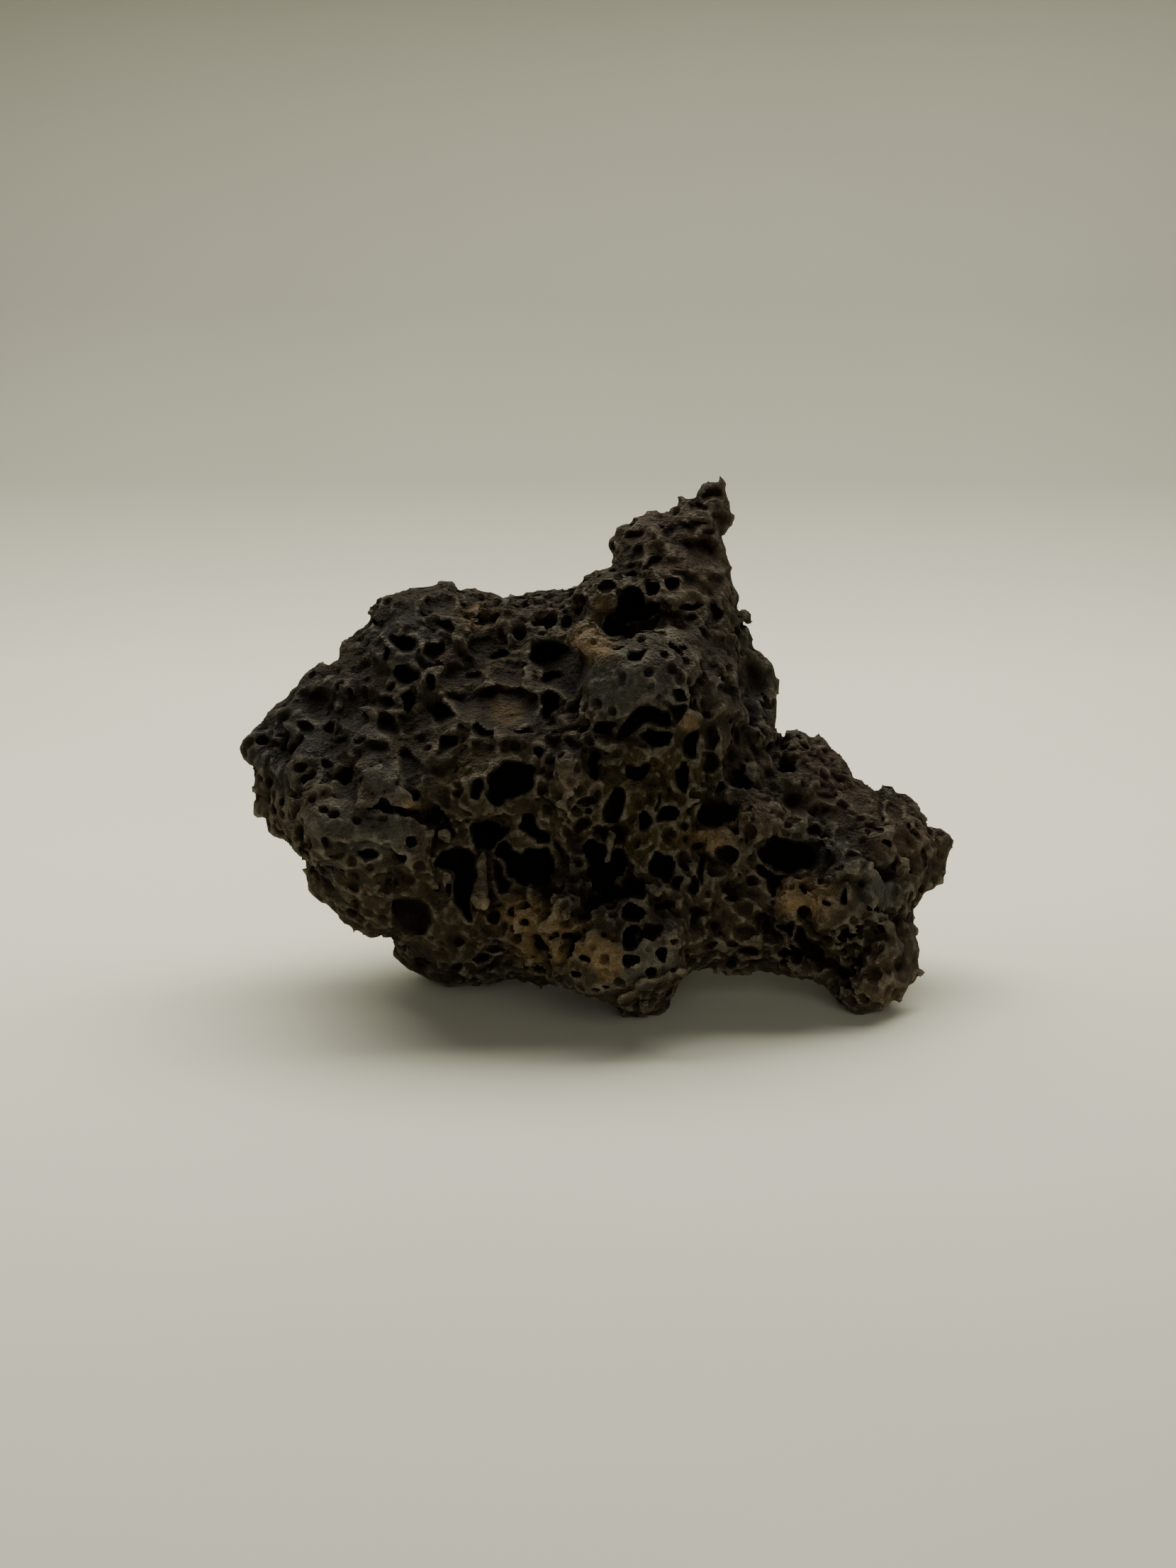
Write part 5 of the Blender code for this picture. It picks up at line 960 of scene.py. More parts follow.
calm_share = 1 - skin_map
rock = body + swelling + crests * calm_share[:, :, None] - GROWN
crumbled = sum(np.exp(-2.0 * (((flat_across - a) / half_a) ** 2 + ((flat_up - u) / half_u) ** 2) ** 1.5)
               for a, u, half_a, half_u in CRUMBS)
crumbs = np.abs(noise(CRUMB_WIDTH, seed=15)) * CRUMB_HEIGHT
beside_share = np.clip(BESIDE_SHARE + gap_map * BESIDE_SLOPE, BESIDE_SHARE, 1.0)
beside_share *= np.clip(inset_map / EDGE_WIDTH, OUTER_LEAST, 1.0)
rock = scooped(rock, OUTER_SCOOPS, OUTER_REACH, calm_share * beside_share)
rock = melted(rock, plates + swelling * PLATE_SWELL + crests * PLATE_CRESTS, PLATE_MELT)
inner_part = np.clip(inset_map / SINK_INSET, 0, 1)
near_holes = np.exp(-np.clip(gap_map, 0, None) / SINK_BESIDE) * inner_part * calm_share
rock += np.clip(noise(SINK_WIDTH, seed=77), 0, None) * SINK * near_holes[:, :, None]
edge_share = np.clip(inset_map / EDGE_WIDTH, INNER_LEAST, 1.0)
rock = scooped(np.maximum(rock, hollow), INNER_SCOOPS, INNER_REACH, (1 - skin_map * INNER_CALM) * edge_share)
rock = rock + crumbs * crumbled[:, :, None]

# %% The scattered holes, the rods and the cuts
# (how many tries, least and largest radius, least and most sunk, how close mouths may come)
SCATTER = [
    (5000, 2.8, 4.6, -0.7, -0.4, 0.9),
    (9000, 1.8, 2.8, -0.6, 0.2, 0.92),
    (9000, 1.0, 1.8, -0.5, 0.4, 1.0),
    (1200, 0.6, 0.9, -0.2, 0.5, 1.3),
]
SKIN_KEEPS = 0.98
SEEN_DEPTH, IN_HOLES, BESIDE_HOLES, LARGEST_SEEN = 9.0, 0.1, 0.55, 1.6
NEAR_SURFACE, GRID_MARGIN = 0.6, 3
SMALL_BIAS, SCATTER_STRETCH, SCATTER_WOBBLE, EDGE_RADIUS = 1.5, (0.8, 1.3), 0.2, 2.0
ROD_WOBBLE, ROD_MELT = 0.9, 1.4
WALL_HALF, WALL_INSET = 0.7, 0.6


def rod_field(row):
    """A rod that follows the front: the distance to its line less a radius that changes along it."""
    a1, u1, r1, a2, u2, r2, lift = row
    da, du = a2 - a1, u2 - u1
    along = np.clip(((flat_across - a1) * da + (flat_up - u1) * du) / (da * da + du * du), 0, 1)
    away = np.hypot(flat_across - a1 - along * da, flat_up - u1 - along * du)
    depth = np.clip(np.abs(back_grid - (calm_front - lift)[:, :, None]) - lift, 0, None)
    radius = (r1 + along * (r2 - r1) + edge_wobble * ROD_WOBBLE)[:, :, None]
    return (np.hypot(away[:, :, None], depth) - radius).astype(np.float32)


def scatter(field, taken, tries, least, most, least_sunk, most_sunk, closeness, seed):
    """Holes with their middles near the surface. A try that comes too close to a taken mouth is dropped."""
    chance = np.random.default_rng(seed)
    near = np.argwhere(np.abs(field) < CELL * NEAR_SURFACE)
    near = near[((near >= GRID_MARGIN) & (near < np.array(SHAPE) - GRID_MARGIN)).all(axis=1)]
    picked = near[chance.choice(len(near), size=min(tries, len(near)), replace=False)]
    steps = 2 * np.eye(3, dtype=int)
    slope = np.stack([field[tuple((picked + s).T)] - field[tuple((picked - s).T)] for s in steps], axis=1)
    slope /= np.linalg.norm(slope, axis=1)[:, None] + 1e-9
    columns = tuple(picked[:, :2].T)
    radii = least + (most - least) * chance.uniform(size=len(picked)) ** SMALL_BIAS
    kept = chance.uniform(size=len(picked)) > SKIN_KEEPS * skin_map[columns]
    kept &= (inset_map[columns] > EDGE_WIDTH) | (radii < EDGE_RADIUS)
    sunk = chance.uniform(least_sunk, most_sunk, size=len(picked))
    on_surface = ORIGIN + picked * CELL
    mouth = radii * np.sqrt(1 - sunk ** 2)
    unseen = on_surface[:, 2] > calm_front[columns] + SEEN_DEPTH
    gap = gap_map[columns]
    room = np.where(gap < 0, -gap * IN_HOLES, gap * BESIDE_HOLES)
    kept &= unseen | ((room > mouth) & (mouth < LARGEST_SEEN))
    turns = chance.uniform(0, math.pi, size=(len(picked), 2))
    stretch = chance.uniform(*SCATTER_STRETCH, size=len(picked))
    middles = on_surface - slope * (sunk * radii)[:, None]
    made = 0
    for i in np.flatnonzero(kept):
        gaps = np.linalg.norm(taken[:, :3] - on_surface[i], axis=1)
        if (gaps < closeness * (taken[:, 3] + mouth[i])).any():
            continue
        taken = np.vstack([taken, [*on_surface[i], mouth[i]]])
        turn = turn_about(2, turns[i, 0]) @ turn_about(0, turns[i, 1])
        half_sizes = (radii[i] * stretch[i], radii[i], radii[i] / stretch[i])
        carve_egg(middles[i], half_sizes, turn, SCATTER_WOBBLE)
        made += 1
    print("holes scattered:", made)
    return taken


for seed, row in enumerate(SCATTER):
    mouths = scatter(rock, mouths, *row, seed=20 + seed)
rock = np.maximum(rock, hollow)
for row in RODS:
    rock = melted(rock, rod_field(row), ROD_MELT)

# A thin wall at mid depth, so that no hole goes right through.
middle = thickness_maps(flat_across, flat_up)[0].astype(np.float32)
wall = np.maximum(np.abs(back_grid - middle[:, :, None]) - WALL_HALF, WALL_INSET - inset_map[:, :, None])
rock = np.minimum(rock, wall)
table_height = to_table(across_grid, up_grid, back_grid)[2]
rock = np.maximum(rock, -table_height.astype(np.float32))
print("rock volume, cm3:", round(float((rock < 0).sum()) * CELL ** 3 / 1000, 1))

# %% [markdown]
# ## From the field to a mesh
# The surface is where the field is zero. Each grid cell that it crosses gets one vertex,
# at the mean of the crossings on the cell's edges, and each crossed grid edge gets one
# quad over the four cells round it. First, corners that would make the surface touch
# itself along an edge are filled, so that the mesh stays closed. Last, every vertex
# moves along the field's slope onto the zero surface, which takes out the grid's steps.

# %% Meshing
FILL_DEPTH = 0.1
SETTLE_LIMIT, SLOPE_FLOOR = 0.35, 1e-4


def without_pinches(field):
    """The field with no grid face whose four corners are in, out, in, out by turns."""
    pinched = True
    while pinched:
        pinched = False
        for one, two in ((0, 1), (0, 2), (1, 2)):
            for flip in (False, True):
                faces = []
                for low_one, low_two in ((True, True), (False, True), (True, False), (False, False)):
                    pick = [slice(None)] * 3
                    pick[one] = slice(None, -1) if low_one else slice(1, None)
                    pick[two] = slice(None, -1) if low_two else slice(1, None)
                    faces.append(field[tuple(pick)])
                if flip:
                    faces = [faces[1], faces[0], faces[3], faces[2]]
                turns = (faces[0] < 0) & (faces[3] < 0) & (faces[1] >= 0) & (faces[2] >= 0)
                faces[1][turns] = -FILL_DEPTH
                pinched = pinched or bool(turns.any())
    return field


def skin(field):
    """The zero surface as places in grid steps and quads of vertex numbers."""
    inside = field < 0
    unit = np.eye(3, dtype=int)
    rings, spots = [], []
    for axis in range(3):
        one, two = unit[(axis + 1) % 3], unit[(axis + 2) % 3]
        here = tuple(slice(None, -1) if i == axis else slice(1, -1) for i in range(3))
        ahead = tuple(slice(1, None) if i == axis else slice(1, -1) for i in range(3))
        at = np.argwhere(inside[here] != inside[ahead]) + 1 - unit[axis]
        near, far = field[tuple(at.T)], field[tuple((at + unit[axis]).T)]
        spots.append(at + (near / (near - far))[:, None] * unit[axis])
        ring = np.stack([at - one - two, at - two, at, at - one], axis=1)
        leaving = near < 0
        ring[~leaving] = ring[~leaving][:, ::-1]
        rings.append(ring)
    rings, spots = np.concatenate(rings), np.concatenate(spots)
    numbers = np.ravel_multi_index(rings.reshape(-1, 3).T, field.shape)
    used, which = np.unique(numbers, return_inverse=True)
    which = which.ravel()
    share = np.bincount(which, minlength=len(used))
    repeated = np.repeat(spots, 4, axis=0)
    sums = [np.bincount(which, weights=column, minlength=len(used)) for column in repeated.T]
    return np.stack(sums, axis=1) / share[:, None], which.reshape(-1, 4)


def largest_part(places, quads):
    """Only the largest connected part: each vertex takes its lowest neighbour's number till none changes."""
    label = np.arange(len(places))
    changed = True
    while changed:
        lowest = label[quads].min(axis=1)
        lower = label.copy()
        for corner in range(4):
            np.minimum.at(lower, quads[:, corner], lowest)
        lower = lower[lower]
        changed = bool((lower != label).any())
        label = lower
    main = np.bincount(label).argmax()
    kept = label == main
    number = np.cumsum(kept) - 1
    return places[kept], number[quads[kept[quads[:, 0]]]]


def between(field, place):
    """A grid field at places in grid steps: the eight points round each, by (1 - gap) along each axis."""
    base = np.clip(np.floor(place).astype(int), 0, np.array(field.shape) - 2)
    part = np.clip(place - base, 0, 1)
    value = 0.0
    for corner in np.ndindex(2, 2, 2):
        weight = np.prod([part[:, i] if c else 1 - part[:, i] for i, c in enumerate(corner)], axis=0)
        value = value + weight * field[tuple((base + corner).T)]
    return value


def settled(places, field):
    """Every vertex moved along the slope to where the field is zero: - value x slope / |slope|^2."""
    slope = np.stack([between(np.gradient(field, axis=axis), places) for axis in range(3)], axis=1)
    step = between(field, places)[:, None] * slope / ((slope ** 2).sum(axis=1) + SLOPE_FLOOR)[:, None]
    return places - np.clip(step, -SETTLE_LIMIT, SETTLE_LIMIT)


rock = without_pinches(rock)
places, quads = skin(rock)
total = len(quads)
places, quads = largest_part(places, quads)
places = settled(places, rock)
print("quads:", len(quads), "left out as loose crumbs:", total - len(quads))

# %% The stone's object
NEAR_FRONT = 6.0
view_places = ORIGIN + places * CELL
points = np.stack(to_table(*view_places.T), axis=1) * MM
mesh = bpy.data.meshes.new("lava_rock_surface")
mesh.vertices.add(len(points))
mesh.vertices.foreach_set("co", points.astype(np.float32).ravel())
mesh.loops.add(quads.size)
mesh.loops.foreach_set("vertex_index", quads.astype(np.int32).ravel())
mesh.polygons.add(len(quads))
mesh.polygons.foreach_set("loop_start", np.arange(0, quads.size, 4, dtype=np.int32))
mesh.update(calc_edges=True)
mesh.validate()
stone = bpy.data.objects.new("stone_surface", mesh)
bpy.context.scene.collection.objects.link(stone)
front = front_of(rock)
column = np.floor(places[:, :2]).astype(int)
seen = places[:, 2] * CELL + ORIGIN[2] < front[tuple(column.T)] + NEAR_FRONT
print("share of the vertices near the front:", round(float(seen.mean()), 2))

# %% [markdown]
# ## Spending the triangles where they show
# The piece is kept under 200,000 triangles. The raw mesh has several times as many, so it is
# thinned by merging edges where the surface is plainest: first only on the sides out of
# sight, and then all over. Last, it is fitted into the imported part's own box.

# %% Thinning
TRIANGLE_LIMIT = 197000
UNSEEN_TRIANGLES = 56000
CREASE_ANGLE = 27.0
INSIDE_BOX = 0.00004


def thinned(item, limit, kept=None):
    """The object's mesh after a Decimate modifier down to the limit that leaves the kept vertices alone."""
    fewer = item.modifiers.new("fewer", "DECIMATE")
    fewer.ratio = limit / sum(len(face.vertices) - 2 for face in item.data.polygons)
    fewer.use_collapse_triangulate = True
    if kept is not None:
        group = item.vertex_groups.new(name="free")
        group.add(np.flatnonzero(~kept).tolist(), 1.0, "REPLACE")
        fewer.vertex_group = group.name
    graph = bpy.context.evaluated_depsgraph_get()
    result = bpy.data.meshes.new_from_object(item.evaluated_get(graph))
    item.modifiers.clear()
    item.vertex_groups.clear()
    return result


stone.data = thinned(stone, 2 * len(quads) * float(seen.mean()) + UNSEEN_TRIANGLES, kept=seen)
print("triangles with the far side thinned:", len(stone.data.polygons))
stone.data = thinned(stone, TRIANGLE_LIMIT)
stone.data.validate()
points = np.empty(len(stone.data.vertices) * 3, dtype=np.float32)
stone.data.vertices.foreach_get("co", points)
points = points.reshape(-1, 3)
points[:, 2] = np.maximum(points[:, 2], 0.0)
found_low, found_high = points.min(axis=0), points.max(axis=0)
view_points = np.stack(to_view(*(points.T / MM)), axis=1)
fitted_low, fitted_high = part_low + [INSIDE_BOX, INSIDE_BOX, 0.0], part_high - INSIDE_BOX
share = (points - found_low) / (found_high - found_low)
print("box before the fit, mm:", (found_low * 1000).round(2), (found_high * 1000).round(2))
points = fitted_low + share * (fitted_high - fitted_low)
stone.data.vertices.foreach_set("co", points.astype(np.float32).ravel())
stone.data.shade_smooth()
stone.data.set_sharp_from_angle(angle=math.radians(CREASE_ANGLE))
stone.data.update()
print("triangles:", len(stone.data.polygons))

# %% [markdown]
# ## What the surface remembers
# The material needs to know where on the rock it is: sunk in a hole, on a ridge or in
# a groove, how low and how level, on old smooth skin, and in which colour region. Those
# are worked out once per vertex from the same fields and stored as attributes.

# %% Attributes
RIDGE_WIDTH, RIDGE_GAIN = 1.6, 2.2
OPEN_WIDTH, OPEN_GAIN = 5.0, 1.6
FRONT_DEPTH = 12.0
SUNK_FROM, SUNK_OVER, SUNK_BESIDE = 1.2, 4.5, 0.4
LOW_UP_TO = 60.0
BEHIND_SHARE = 0.35


def sampled(field):
    """A grid field at every vertex."""
    return between(field, (view_points - ORIGIN) / CELL)


def sampled_map(flat):
    """A field of the view alone, the same at every depth, at every vertex."""
    return sampled(flat[:, :, None].repeat(2, axis=2))


def store(name, values):
    """One number for each vertex, under a name the material can read."""
    layer = stone.data.attributes.new(name, "FLOAT", "POINT")
    layer.data.foreach_set("value", np.asarray(values, dtype=np.float32))


def soft_spot(across, up, half_across, half_up, roll):
    """1 at a spot's middle, falling to about 0 at its edge, in the sitter's view."""
    turn = math.radians(roll)
    da, du = view_points[:, 0] - across, view_points[:, 1] - up
    along = (da * math.cos(turn) + du * math.sin(turn)) / half_across
    aside = (du * math.cos(turn) - da * math.sin(turn)) / half_up
    return np.exp(-2.0 * (along ** 2 + aside ** 2) ** 1.5)


filled = np.clip(0.5 - rock / CELL, 0, 1).astype(np.float32)
ridge = 0.5 - sampled(blurred(filled, RIDGE_WIDTH))
density = blurred(filled, OPEN_WIDTH)
openness = 0.5 - sampled(density)
slope_up, slope_back = sampled(np.gradient(density, axis=1)), sampled(np.gradient(density, axis=2))
steepness = np.hypot(np.hypot(slope_up, slope_back), sampled(np.gradient(density, axis=0))) + 1e-6
facing = np.clip(-(view_points[:, 2] - sampled_map(front) - FRONT_DEPTH) / FRONT_DEPTH, 0, 1)
sunk_in = sampled((back_grid - calm_front[:, :, None]) * np.clip(SUNK_BESIDE - gap_map, 0, 1)[:, :, None])
# sunken, openness and ridge also set the material's painted shade in holes, sunk places and grooves
store("sunken", np.clip((sunk_in - SUNK_FROM) / SUNK_OVER, 0, 1) * (facing > 0))
store("ridge", np.clip(0.5 + ridge * RIDGE_GAIN, 0, 1))
store("openness", np.clip(0.5 + openness * OPEN_GAIN, 0, 1))
# tops and lowness set the material's painted shade on upward faces and painted light low down
store("tops", np.clip((slope_back * SIN - slope_up * COS) / steepness, 0, 1))
store("lowness", np.clip(1.0 - points[:, 2] / MM / LOW_UP_TO, 0, 1))
store("skin", facing * sampled_map(skin_map))

# (across, up, half across, half up, roll) of the spots of each colour
REGIONS = {
    "charcoal": [(-66, 57, 14, 12, 0), (-42, 80, 13, 12, 20), (-58, 66, 10, 10, 0), (34, 68, 5, 10, 0),
                 (45, 35, 12, 7, 0)],
    "slate": [(-50, 39, 17, 8, -12), (-45, 50, 8, 5, -35), (6, 70, 13, 11, 0), (9, 12, 11, 7, 0),
              (60, 27, 8, 9, 0), (-50, 60, 8, 6, 0)],
    "olive": [(12, 50, 20, 14, 0), (-39, 63, 7, 6, 0), (8, 38, 16, 10, 0), (-28, 52, 8, 8, 0)],
    "tan": [(-1.5, 80, 7.5, 5.5, -30), (-10, 16, 13, 8, 0), (-18, 22, 10, 5, 0), (19.3, 62.5, 3, 3, 0),
            (23, 37.5, 9, 4, 0), (-39.5, 45, 4, 1.6, -20), (-25, 85, 6, 4, 0), (44, 25, 9, 7, 0),
            (-20, 66, 6, 5, 0), (31, 43, 2.5, 2, 0), (1, 88, 4, 3.5, 0), (2, 12, 5, 6, 0)],
    "russet": [(33, 42, 7, 6, 0), (16, 104, 14, 9, 0), (20, 92, 10, 8, 0), (46, 56, 8, 5, -30),
               (60, 8, 10, 8, 0), (52, 47, 10, 6, -20), (-8, 86, 10, 4, 0), (-5, 50, 6, 5, 0),
               (28, 57, 4, 8, 0), (64, 38, 9, 8, 0)],
}
near_front = BEHIND_SHARE + (1 - BEHIND_SHARE) * facing
for region, rows in REGIONS.items():
    store(region, np.clip(np.sum([soft_spot(*row) for row in rows], axis=0), 0, 1) * near_front)
print("stored:", [layer.name for layer in stone.data.attributes if layer.domain == "POINT"])

# %% [markdown]
# ## The stone material
# Fresh basalt is nearly black. Air and water turn it brown, olive and rust red in
# patches. The ridges are paler, partly with dust and partly with a painted highlight, and
# the holes, grooves and upward faces are darkened with painted shade, while the lower
# parts are lightened with painted light. Old skin has a faint glassy shine. The patches
# come from the stored regions broken up by noise, so no edge is drawn, and a fine bump
# gives the grain that the mesh is too coarse for.

# %% A small language for shader maths
class Value:
    """A shader socket that Python's own operators work on: each one adds a Math node."""

    def __init__(self, tree, socket):
        self.tree, self.socket = tree, socket

    def math(self, operation, *others, clamp=False):
        node = self.tree.nodes.new("ShaderNodeMath")
        node.operation, node.use_clamp = operation, clamp
        for place, item in zip(node.inputs, (self, *others)):
            if isinstance(item, Value):
                self.tree.links.new(item.socket, place)
            else:
                place.default_value = item
        return Value(self.tree, node.outputs[0])

    def __add__(self, other):
        return self.math("ADD", other)

    def __mul__(self, other):
        return self.math("MULTIPLY", other)

    def __sub__(self, other):
        return self.math("SUBTRACT", other)

    def __rsub__(self, other):
        return (self * -1.0) + other

    __radd__, __rmul__ = __add__, __mul__

    def clamped(self):
        return self.math("ADD", 0.0, clamp=True)

    def ramp(self, start, end):
        """0 up to start, 1 from end on, straight between."""
        node = self.tree.nodes.new("ShaderNodeMapRange")
        node.inputs["From Min"].default_value, node.inputs["From Max"].default_value = start, end
        self.tree.links.new(self.socket, node.inputs["Value"])
        return Value(self.tree, node.outputs[0])


class Bench:
    """A material's node tree and the one way that its nodes are made."""

    def __init__(self, name):
        self.material = bpy.data.materials.new(name)
        self.material.use_nodes = True
        self.tree = self.material.node_tree
        self.shader = self.tree.nodes["Principled BSDF"]

    def node(self, kind, settings=None, **inputs):
        """A node of the kind: settings first, then values or links by socket name."""
        node = self.tree.nodes.new("ShaderNode" + kind)
        for key, value in (settings or {}).items():
            setattr(node, key, value)
        for key, value in inputs.items():
            self.put(node.inputs[key.replace("_", " ")], value)
        return node

    def put(self, place, value):
        if isinstance(value, Value):
            value = value.socket
        if isinstance(value, bpy.types.NodeSocket):
            self.tree.links.new(value, place)
        else:
            place.default_value = value

    def read(self, name):
        """A stored number of the mesh."""
        return Value(self.tree, self.node("Attribute", {"attribute_name": name}).outputs["Fac"])

    def grain(self, place, scale, detail=3.0, roughness=0.55):
        """Noise, 0 to 1, at so many lumps to the metre."""
        made = self.node("TexNoise", Vector=place, Scale=scale, Detail=detail, Roughness=roughness)
        return Value(self.tree, made.outputs["Fac"])

    def crests(self, place, scale):
        """Sharp crests between rounded dips, at so many to the metre: 1 - |4 (noise - 0.5)|."""
        return 1 - ((self.grain(place, scale, detail=2.0) - 0.5) * 4.0).math("ABSOLUTE")

    def grey(self, level):
        """A colour with the same level in red, green and blue."""
        return self.node("CombineColor", Red=level, Green=level, Blue=level).outputs[0]

    def mixed(self, share, first, second, blend="MIX"):
        """Two colours mixed by a share."""
        node = self.tree.nodes.new("ShaderNodeMix")
        node.data_type, node.blend_type = "RGBA", blend
        self.put(node.inputs[0], share)
        self.put(node.inputs[6], first)
        self.put(node.inputs[7], second)
        return node.outputs[2]


# %% Colours of the stone
BASALT = (0.039, 0.030, 0.018, 1.0)
COLOURS = {
    "charcoal": (0.029, 0.028, 0.025, 1.0),
    "slate": (0.055, 0.052, 0.041, 1.0),
    "olive": (0.037, 0.0285, 0.012, 1.0),
    "tan": (0.160, 0.103, 0.046, 1.0),
    "russet": (0.067, 0.045, 0.030, 1.0),
}
# painted shade: the near-black mixed into holes, grooves and sunk places, where shade falls
PAINTED_SHADE = (0.0035, 0.0026, 0.0017, 1.0)
# dust on the ridges, mixed in also as a painted highlight along the lit rims
DUST_AND_HIGHLIGHT = (0.190, 0.164, 0.118, 1.0)
REGION_SHARE, DUST_AND_HIGHLIGHT_SHARE = 0.9, 0.6
# how strongly the painted shade darkens enclosed places, grooves and sunk places
DARK_OPEN, DARK_GROOVE, DARK_SUNK = 0.8, 0.25, 0.8
# painted shade on upward faces, and painted light that makes low parts up to 1.4 times as bright, fading out
# 60 mm up
PAINTED_SHADE_ON_TOPS, LOW_SHARE, HIGH_SHARE = 0.4, 1.4, 1.0
# Lumps to the metre, and the height in metres from the bump's dips to its crests.
BROAD, MIDDLING, FINE, GRIT, WIDE_CRUMPLE, NARROW_CRUMPLE = 95.0, 420.0, 1900.0, 4200.0, 330.0, 900.0
BUMP_HEIGHT = 0.0008
ROUGHNESS, SKIN_GLOSS, FINE_GLOSS = 0.78, 0.22, 0.18
SPECULAR, SPECULAR_TINT = 0.12, (1.0, 0.82, 0.55, 1.0)


def stone_material():
    """Regions of colour, holes and grooves darkened with painted shade, ridges paler with dust and a painted
    highlight, painted shade on upward faces and painted light low down, glassy skin and a fine grain.
    """
    bench = Bench("weathered_basalt")
    place = bench.node("TexCoord").outputs["Object"]
    broad = bench.grain(place, BROAD)
    middling = bench.grain(place, MIDDLING, detail=4.0, roughness=0.6)
    fine = bench.grain(place, FINE, roughness=0.65)
    colour = BASALT
    for name, region_colour in COLOURS.items():
        share = bench.read(name) + (middling - 0.5) * 0.9 + (broad - 0.5) * 0.6
        colour = bench.mixed(share.ramp(0.25, 0.85) * REGION_SHARE, colour, region_colour)
    ridge, openness, sunken = bench.read("ridge"), bench.read("openness"), bench.read("sunken")
    # ridges paler: partly dust, partly a painted highlight on the rims
    dust_and_highlight = ridge.ramp(0.60, 0.86) * middling.ramp(0.25, 0.6) * DUST_AND_HIGHLIGHT_SHARE
    colour = bench.mixed(dust_and_highlight, colour, DUST_AND_HIGHLIGHT)
    # painted shade: enclosed places, grooves and sunk places mixed towards near-black
    hole_shade = (1 - openness.ramp(0.25, 0.62)) * DARK_OPEN + (1 - ridge.ramp(0.25, 0.5)) * DARK_GROOVE
    colour = bench.mixed((hole_shade + sunken * DARK_SUNK).clamped(), colour, PAINTED_SHADE)
    # painted light and shade: lighter low down, darker on upward faces, standing in for the light from above
    by_height = bench.read("lowness") * (LOW_SHARE - HIGH_SHARE) + HIGH_SHARE
    painted_light_and_shade = (1 - bench.read("tops") * PAINTED_SHADE_ON_TOPS) * by_height
    mottle = ((fine - 0.5) * 0.9 + (middling - 0.5) * 0.9 + (broad - 0.5) * 1.5 + 1.0) * painted_light_and_shade
    bench.put(bench.shader.inputs["Base Color"], bench.mixed(1.0, colour, bench.grey(mottle), "MULTIPLY"))
    rough = ROUGHNESS - bench.read("skin") * SKIN_GLOSS - fine.ramp(0.45, 0.8) * FINE_GLOSS
    bench.put(bench.shader.inputs["Roughness"], rough)
    crumple = bench.crests(place, WIDE_CRUMPLE) * 0.9 + bench.crests(place, NARROW_CRUMPLE) * 0.45
    height = crumple + fine * 0.5 + bench.grain(place, GRIT, detail=2.0) * 0.2
    bump = bench.node("Bump", Height=height, Strength=1.0, Distance=BUMP_HEIGHT)
    bench.put(bench.shader.inputs["Normal"], bump.outputs[0])
    bench.shader.inputs["Specular IOR Level"].default_value = SPECULAR
    bench.shader.inputs["Specular Tint"].default_value = SPECULAR_TINT
    return bench.material


stone.data.materials.clear()
stone.data.materials.append(stone_material())
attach(stone, "root")
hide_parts("lava_rock")
print("stone material nodes:", len(stone.data.materials[0].node_tree.nodes))

# %% [markdown]
# ## Table, light and camera
# A pale table that curves up into a backdrop, with painted light and shade in its colour,
# one wide soft light above and a little behind, and a weak fill from the front. The camera sits in the
# sitter's seat.

# %% The stage
FLOOR_HALF_WIDTH = 0.9
FLOOR_FRONT, WALL_AT, WALL_TOP, CURVE_RADIUS, CURVE_STEPS = -0.75, 0.58, 0.9, 0.40, 24
BOARD_LIGHT, BOARD_DARK = (0.775, 0.76, 0.61, 1.0), (0.75, 0.735, 0.59, 1.0)
BOARD_LEVEL, BOARD_ROUGHNESS = 0.98, 0.6
# (axis, from and to in metres, how much brighter at the end) of the board's painted light and shade: slow
# ramps standing in for how the light falls
BOARD_PAINTED_LIGHT = [(2, 0.13, 0.25, 0.34), (0, 0.45, -0.2, 0.06), (1, -0.16, 0.05, 0.12), (2, 0.012, 0.065, -0.5)]


def stage_mesh():
    """A profile across y and z, flat, then a quarter circle, then straight up, swept along x."""
    angles = np.linspace(0.0, math.pi / 2, CURVE_STEPS)
    curve_y = WALL_AT - CURVE_RADIUS + CURVE_RADIUS * np.sin(angles)
    curve_z = CURVE_RADIUS * (1.0 - np.cos(angles))
    profile_y = np.concatenate([[FLOOR_FRONT], curve_y, [WALL_AT]])
    profile_z = np.concatenate([[0.0], curve_z, [WALL_TOP]])
    sides = np.array([-FLOOR_HALF_WIDTH, FLOOR_HALF_WIDTH])
    grid = np.stack(np.broadcast_arrays(sides[:, None], profile_y, profile_z), axis=-1).reshape(-1, 3)
    count = len(profile_y)
    first = np.arange(count - 1)
    faces = np.stack([first, first + count, first + count + 1, first + 1], axis=1)
    made = bpy.data.meshes.new("table_and_wall")
    made.from_pydata(grid.tolist(), [], faces.tolist())
    made.shade_smooth()
    return made


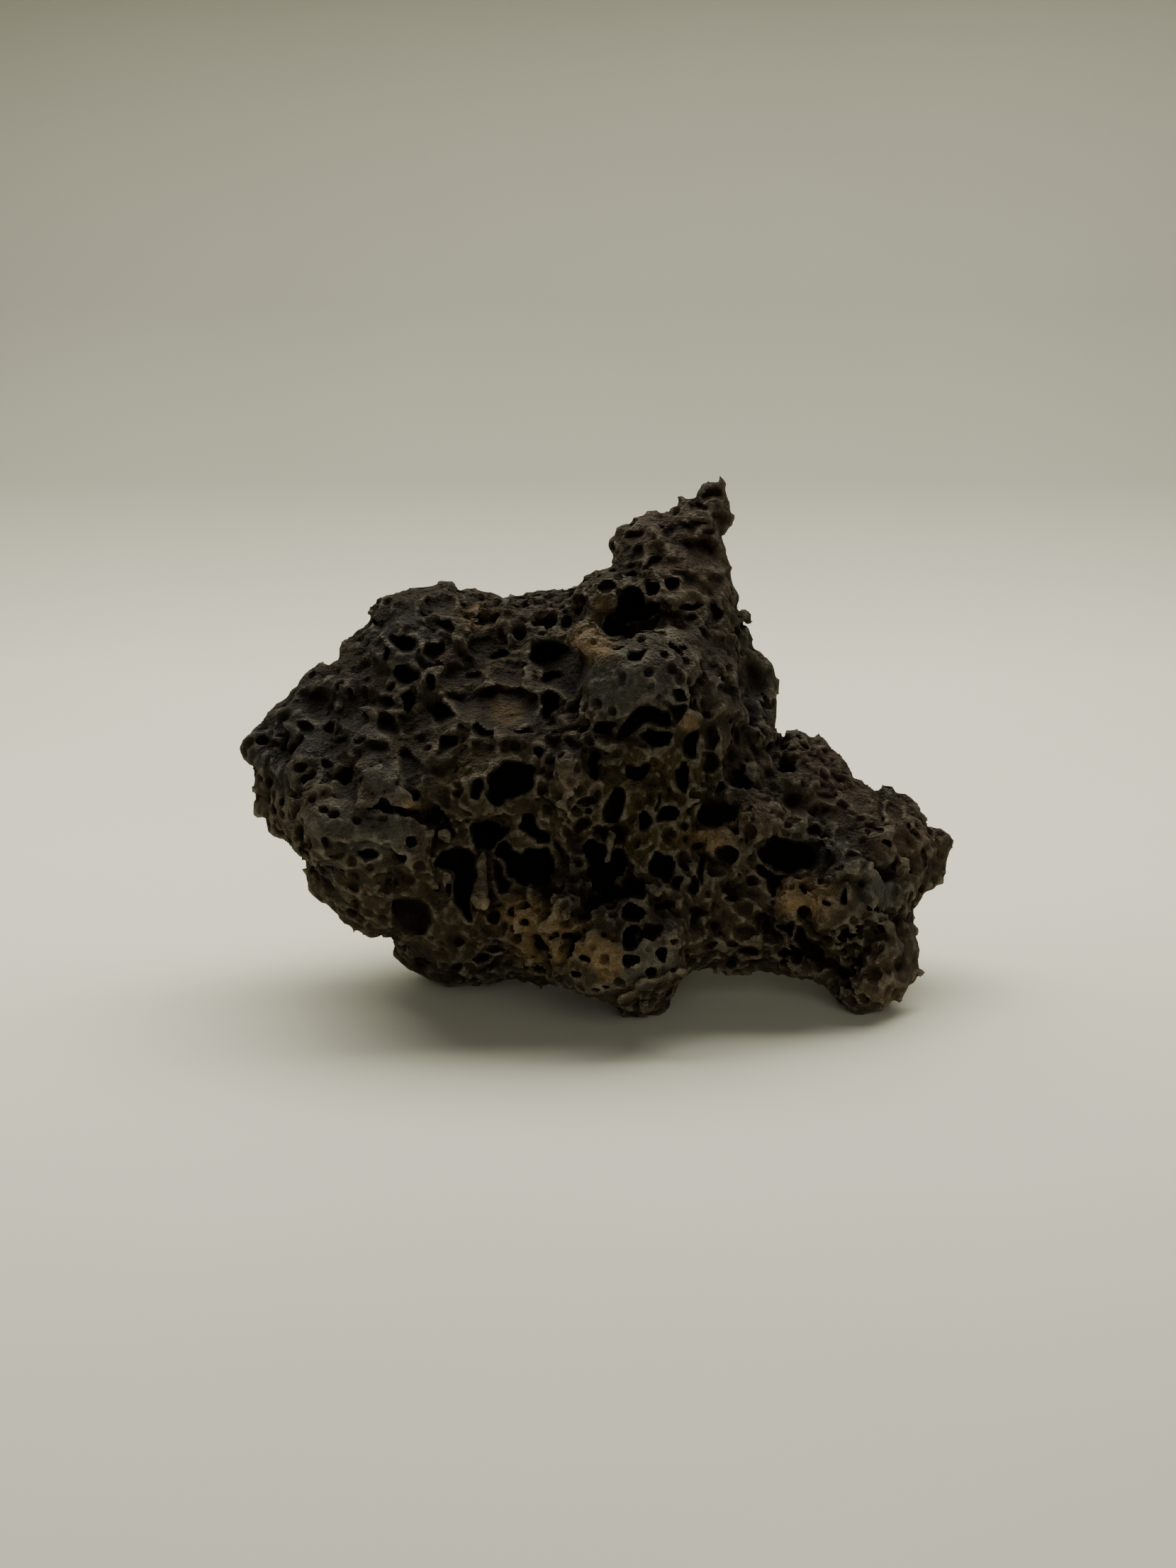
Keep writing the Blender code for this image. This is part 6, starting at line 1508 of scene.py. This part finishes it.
def stage_material():
    """Matt warm board with a faint mottle, times a level that changes slowly along each axis: painted light
    and shade on the table and wall.
    """
    bench = Bench("pale_board")
    place = bench.node("TexCoord").outputs["Object"]
    parts = [Value(bench.tree, socket) for socket in bench.node("SeparateXYZ", Vector=place).outputs]
    # painted light and shade: the board's level raised and lowered by place, standing in for how the light
    # falls
    level = BOARD_LEVEL
    for axis, start, end, gain in BOARD_PAINTED_LIGHT:
        level = level + parts[axis].ramp(start, end) * gain
    mottle = bench.grain(place, 9.0, detail=2.0).ramp(0.3, 0.7)
    colour = bench.mixed(mottle, BOARD_DARK, BOARD_LIGHT)
    bench.put(bench.shader.inputs["Base Color"], bench.mixed(1.0, colour, bench.grey(level), "MULTIPLY"))
    bench.shader.inputs["Roughness"].default_value = BOARD_ROUGHNESS
    return bench.material


board = bpy.data.objects.new("table_and_wall", stage_mesh())
bpy.context.scene.collection.objects.link(board)
board.data.materials.append(stage_material())


def area_light(name, place, aim, width, depth, watts, colour):
    """A soft rectangular light whose lit side faces a point."""
    light = bpy.data.lights.new(name, "AREA")
    light.shape, light.size, light.size_y = "RECTANGLE", width, depth
    light.energy, light.color = watts, colour
    item = bpy.data.objects.new(name, light)
    item.location = place
    x, y, z = np.array(aim) - np.array(place)
    item.rotation_euler = (math.atan2(math.hypot(x, y), -z), 0.0, math.atan2(x, -y) + math.pi)
    bpy.context.scene.collection.objects.link(item)


area_light("sky_panel", (-0.02, 0.19, 0.46), (0.0, -0.03, 0.0), 0.85, 0.28, 4.95, (1.0, 0.985, 0.91))
area_light("front_fill", (0.2, -0.9, 0.35), (0.0, 0.0, 0.05), 0.8, 0.8, 2.1, (1.0, 0.98, 0.92))

world = bpy.data.worlds.new("soft_room")
world.use_nodes = True
room = world.node_tree.nodes["Background"].inputs
room["Color"].default_value, room["Strength"].default_value = (1.0, 0.98, 0.90, 1.0), 0.06
bpy.context.scene.world = world
print("lights:", [item.name for item in bpy.data.lights])

# %% The camera
LENS_MM, CLIP_START = 50.0, 0.01
camera = bpy.data.objects.new("seat", bpy.data.cameras.new("seat"))
camera.data.lens, camera.data.clip_start = LENS_MM, CLIP_START
camera.location = (EYE_X * MM, EYE_Y * MM, EYE_Z * MM)
camera.rotation_euler = (math.pi / 2 - EYE_ELEVATION, 0.0, 0.0)
bpy.context.scene.collection.objects.link(camera)
bpy.context.scene.camera = camera
print("camera at, m:", [round(value, 3) for value in camera.location])
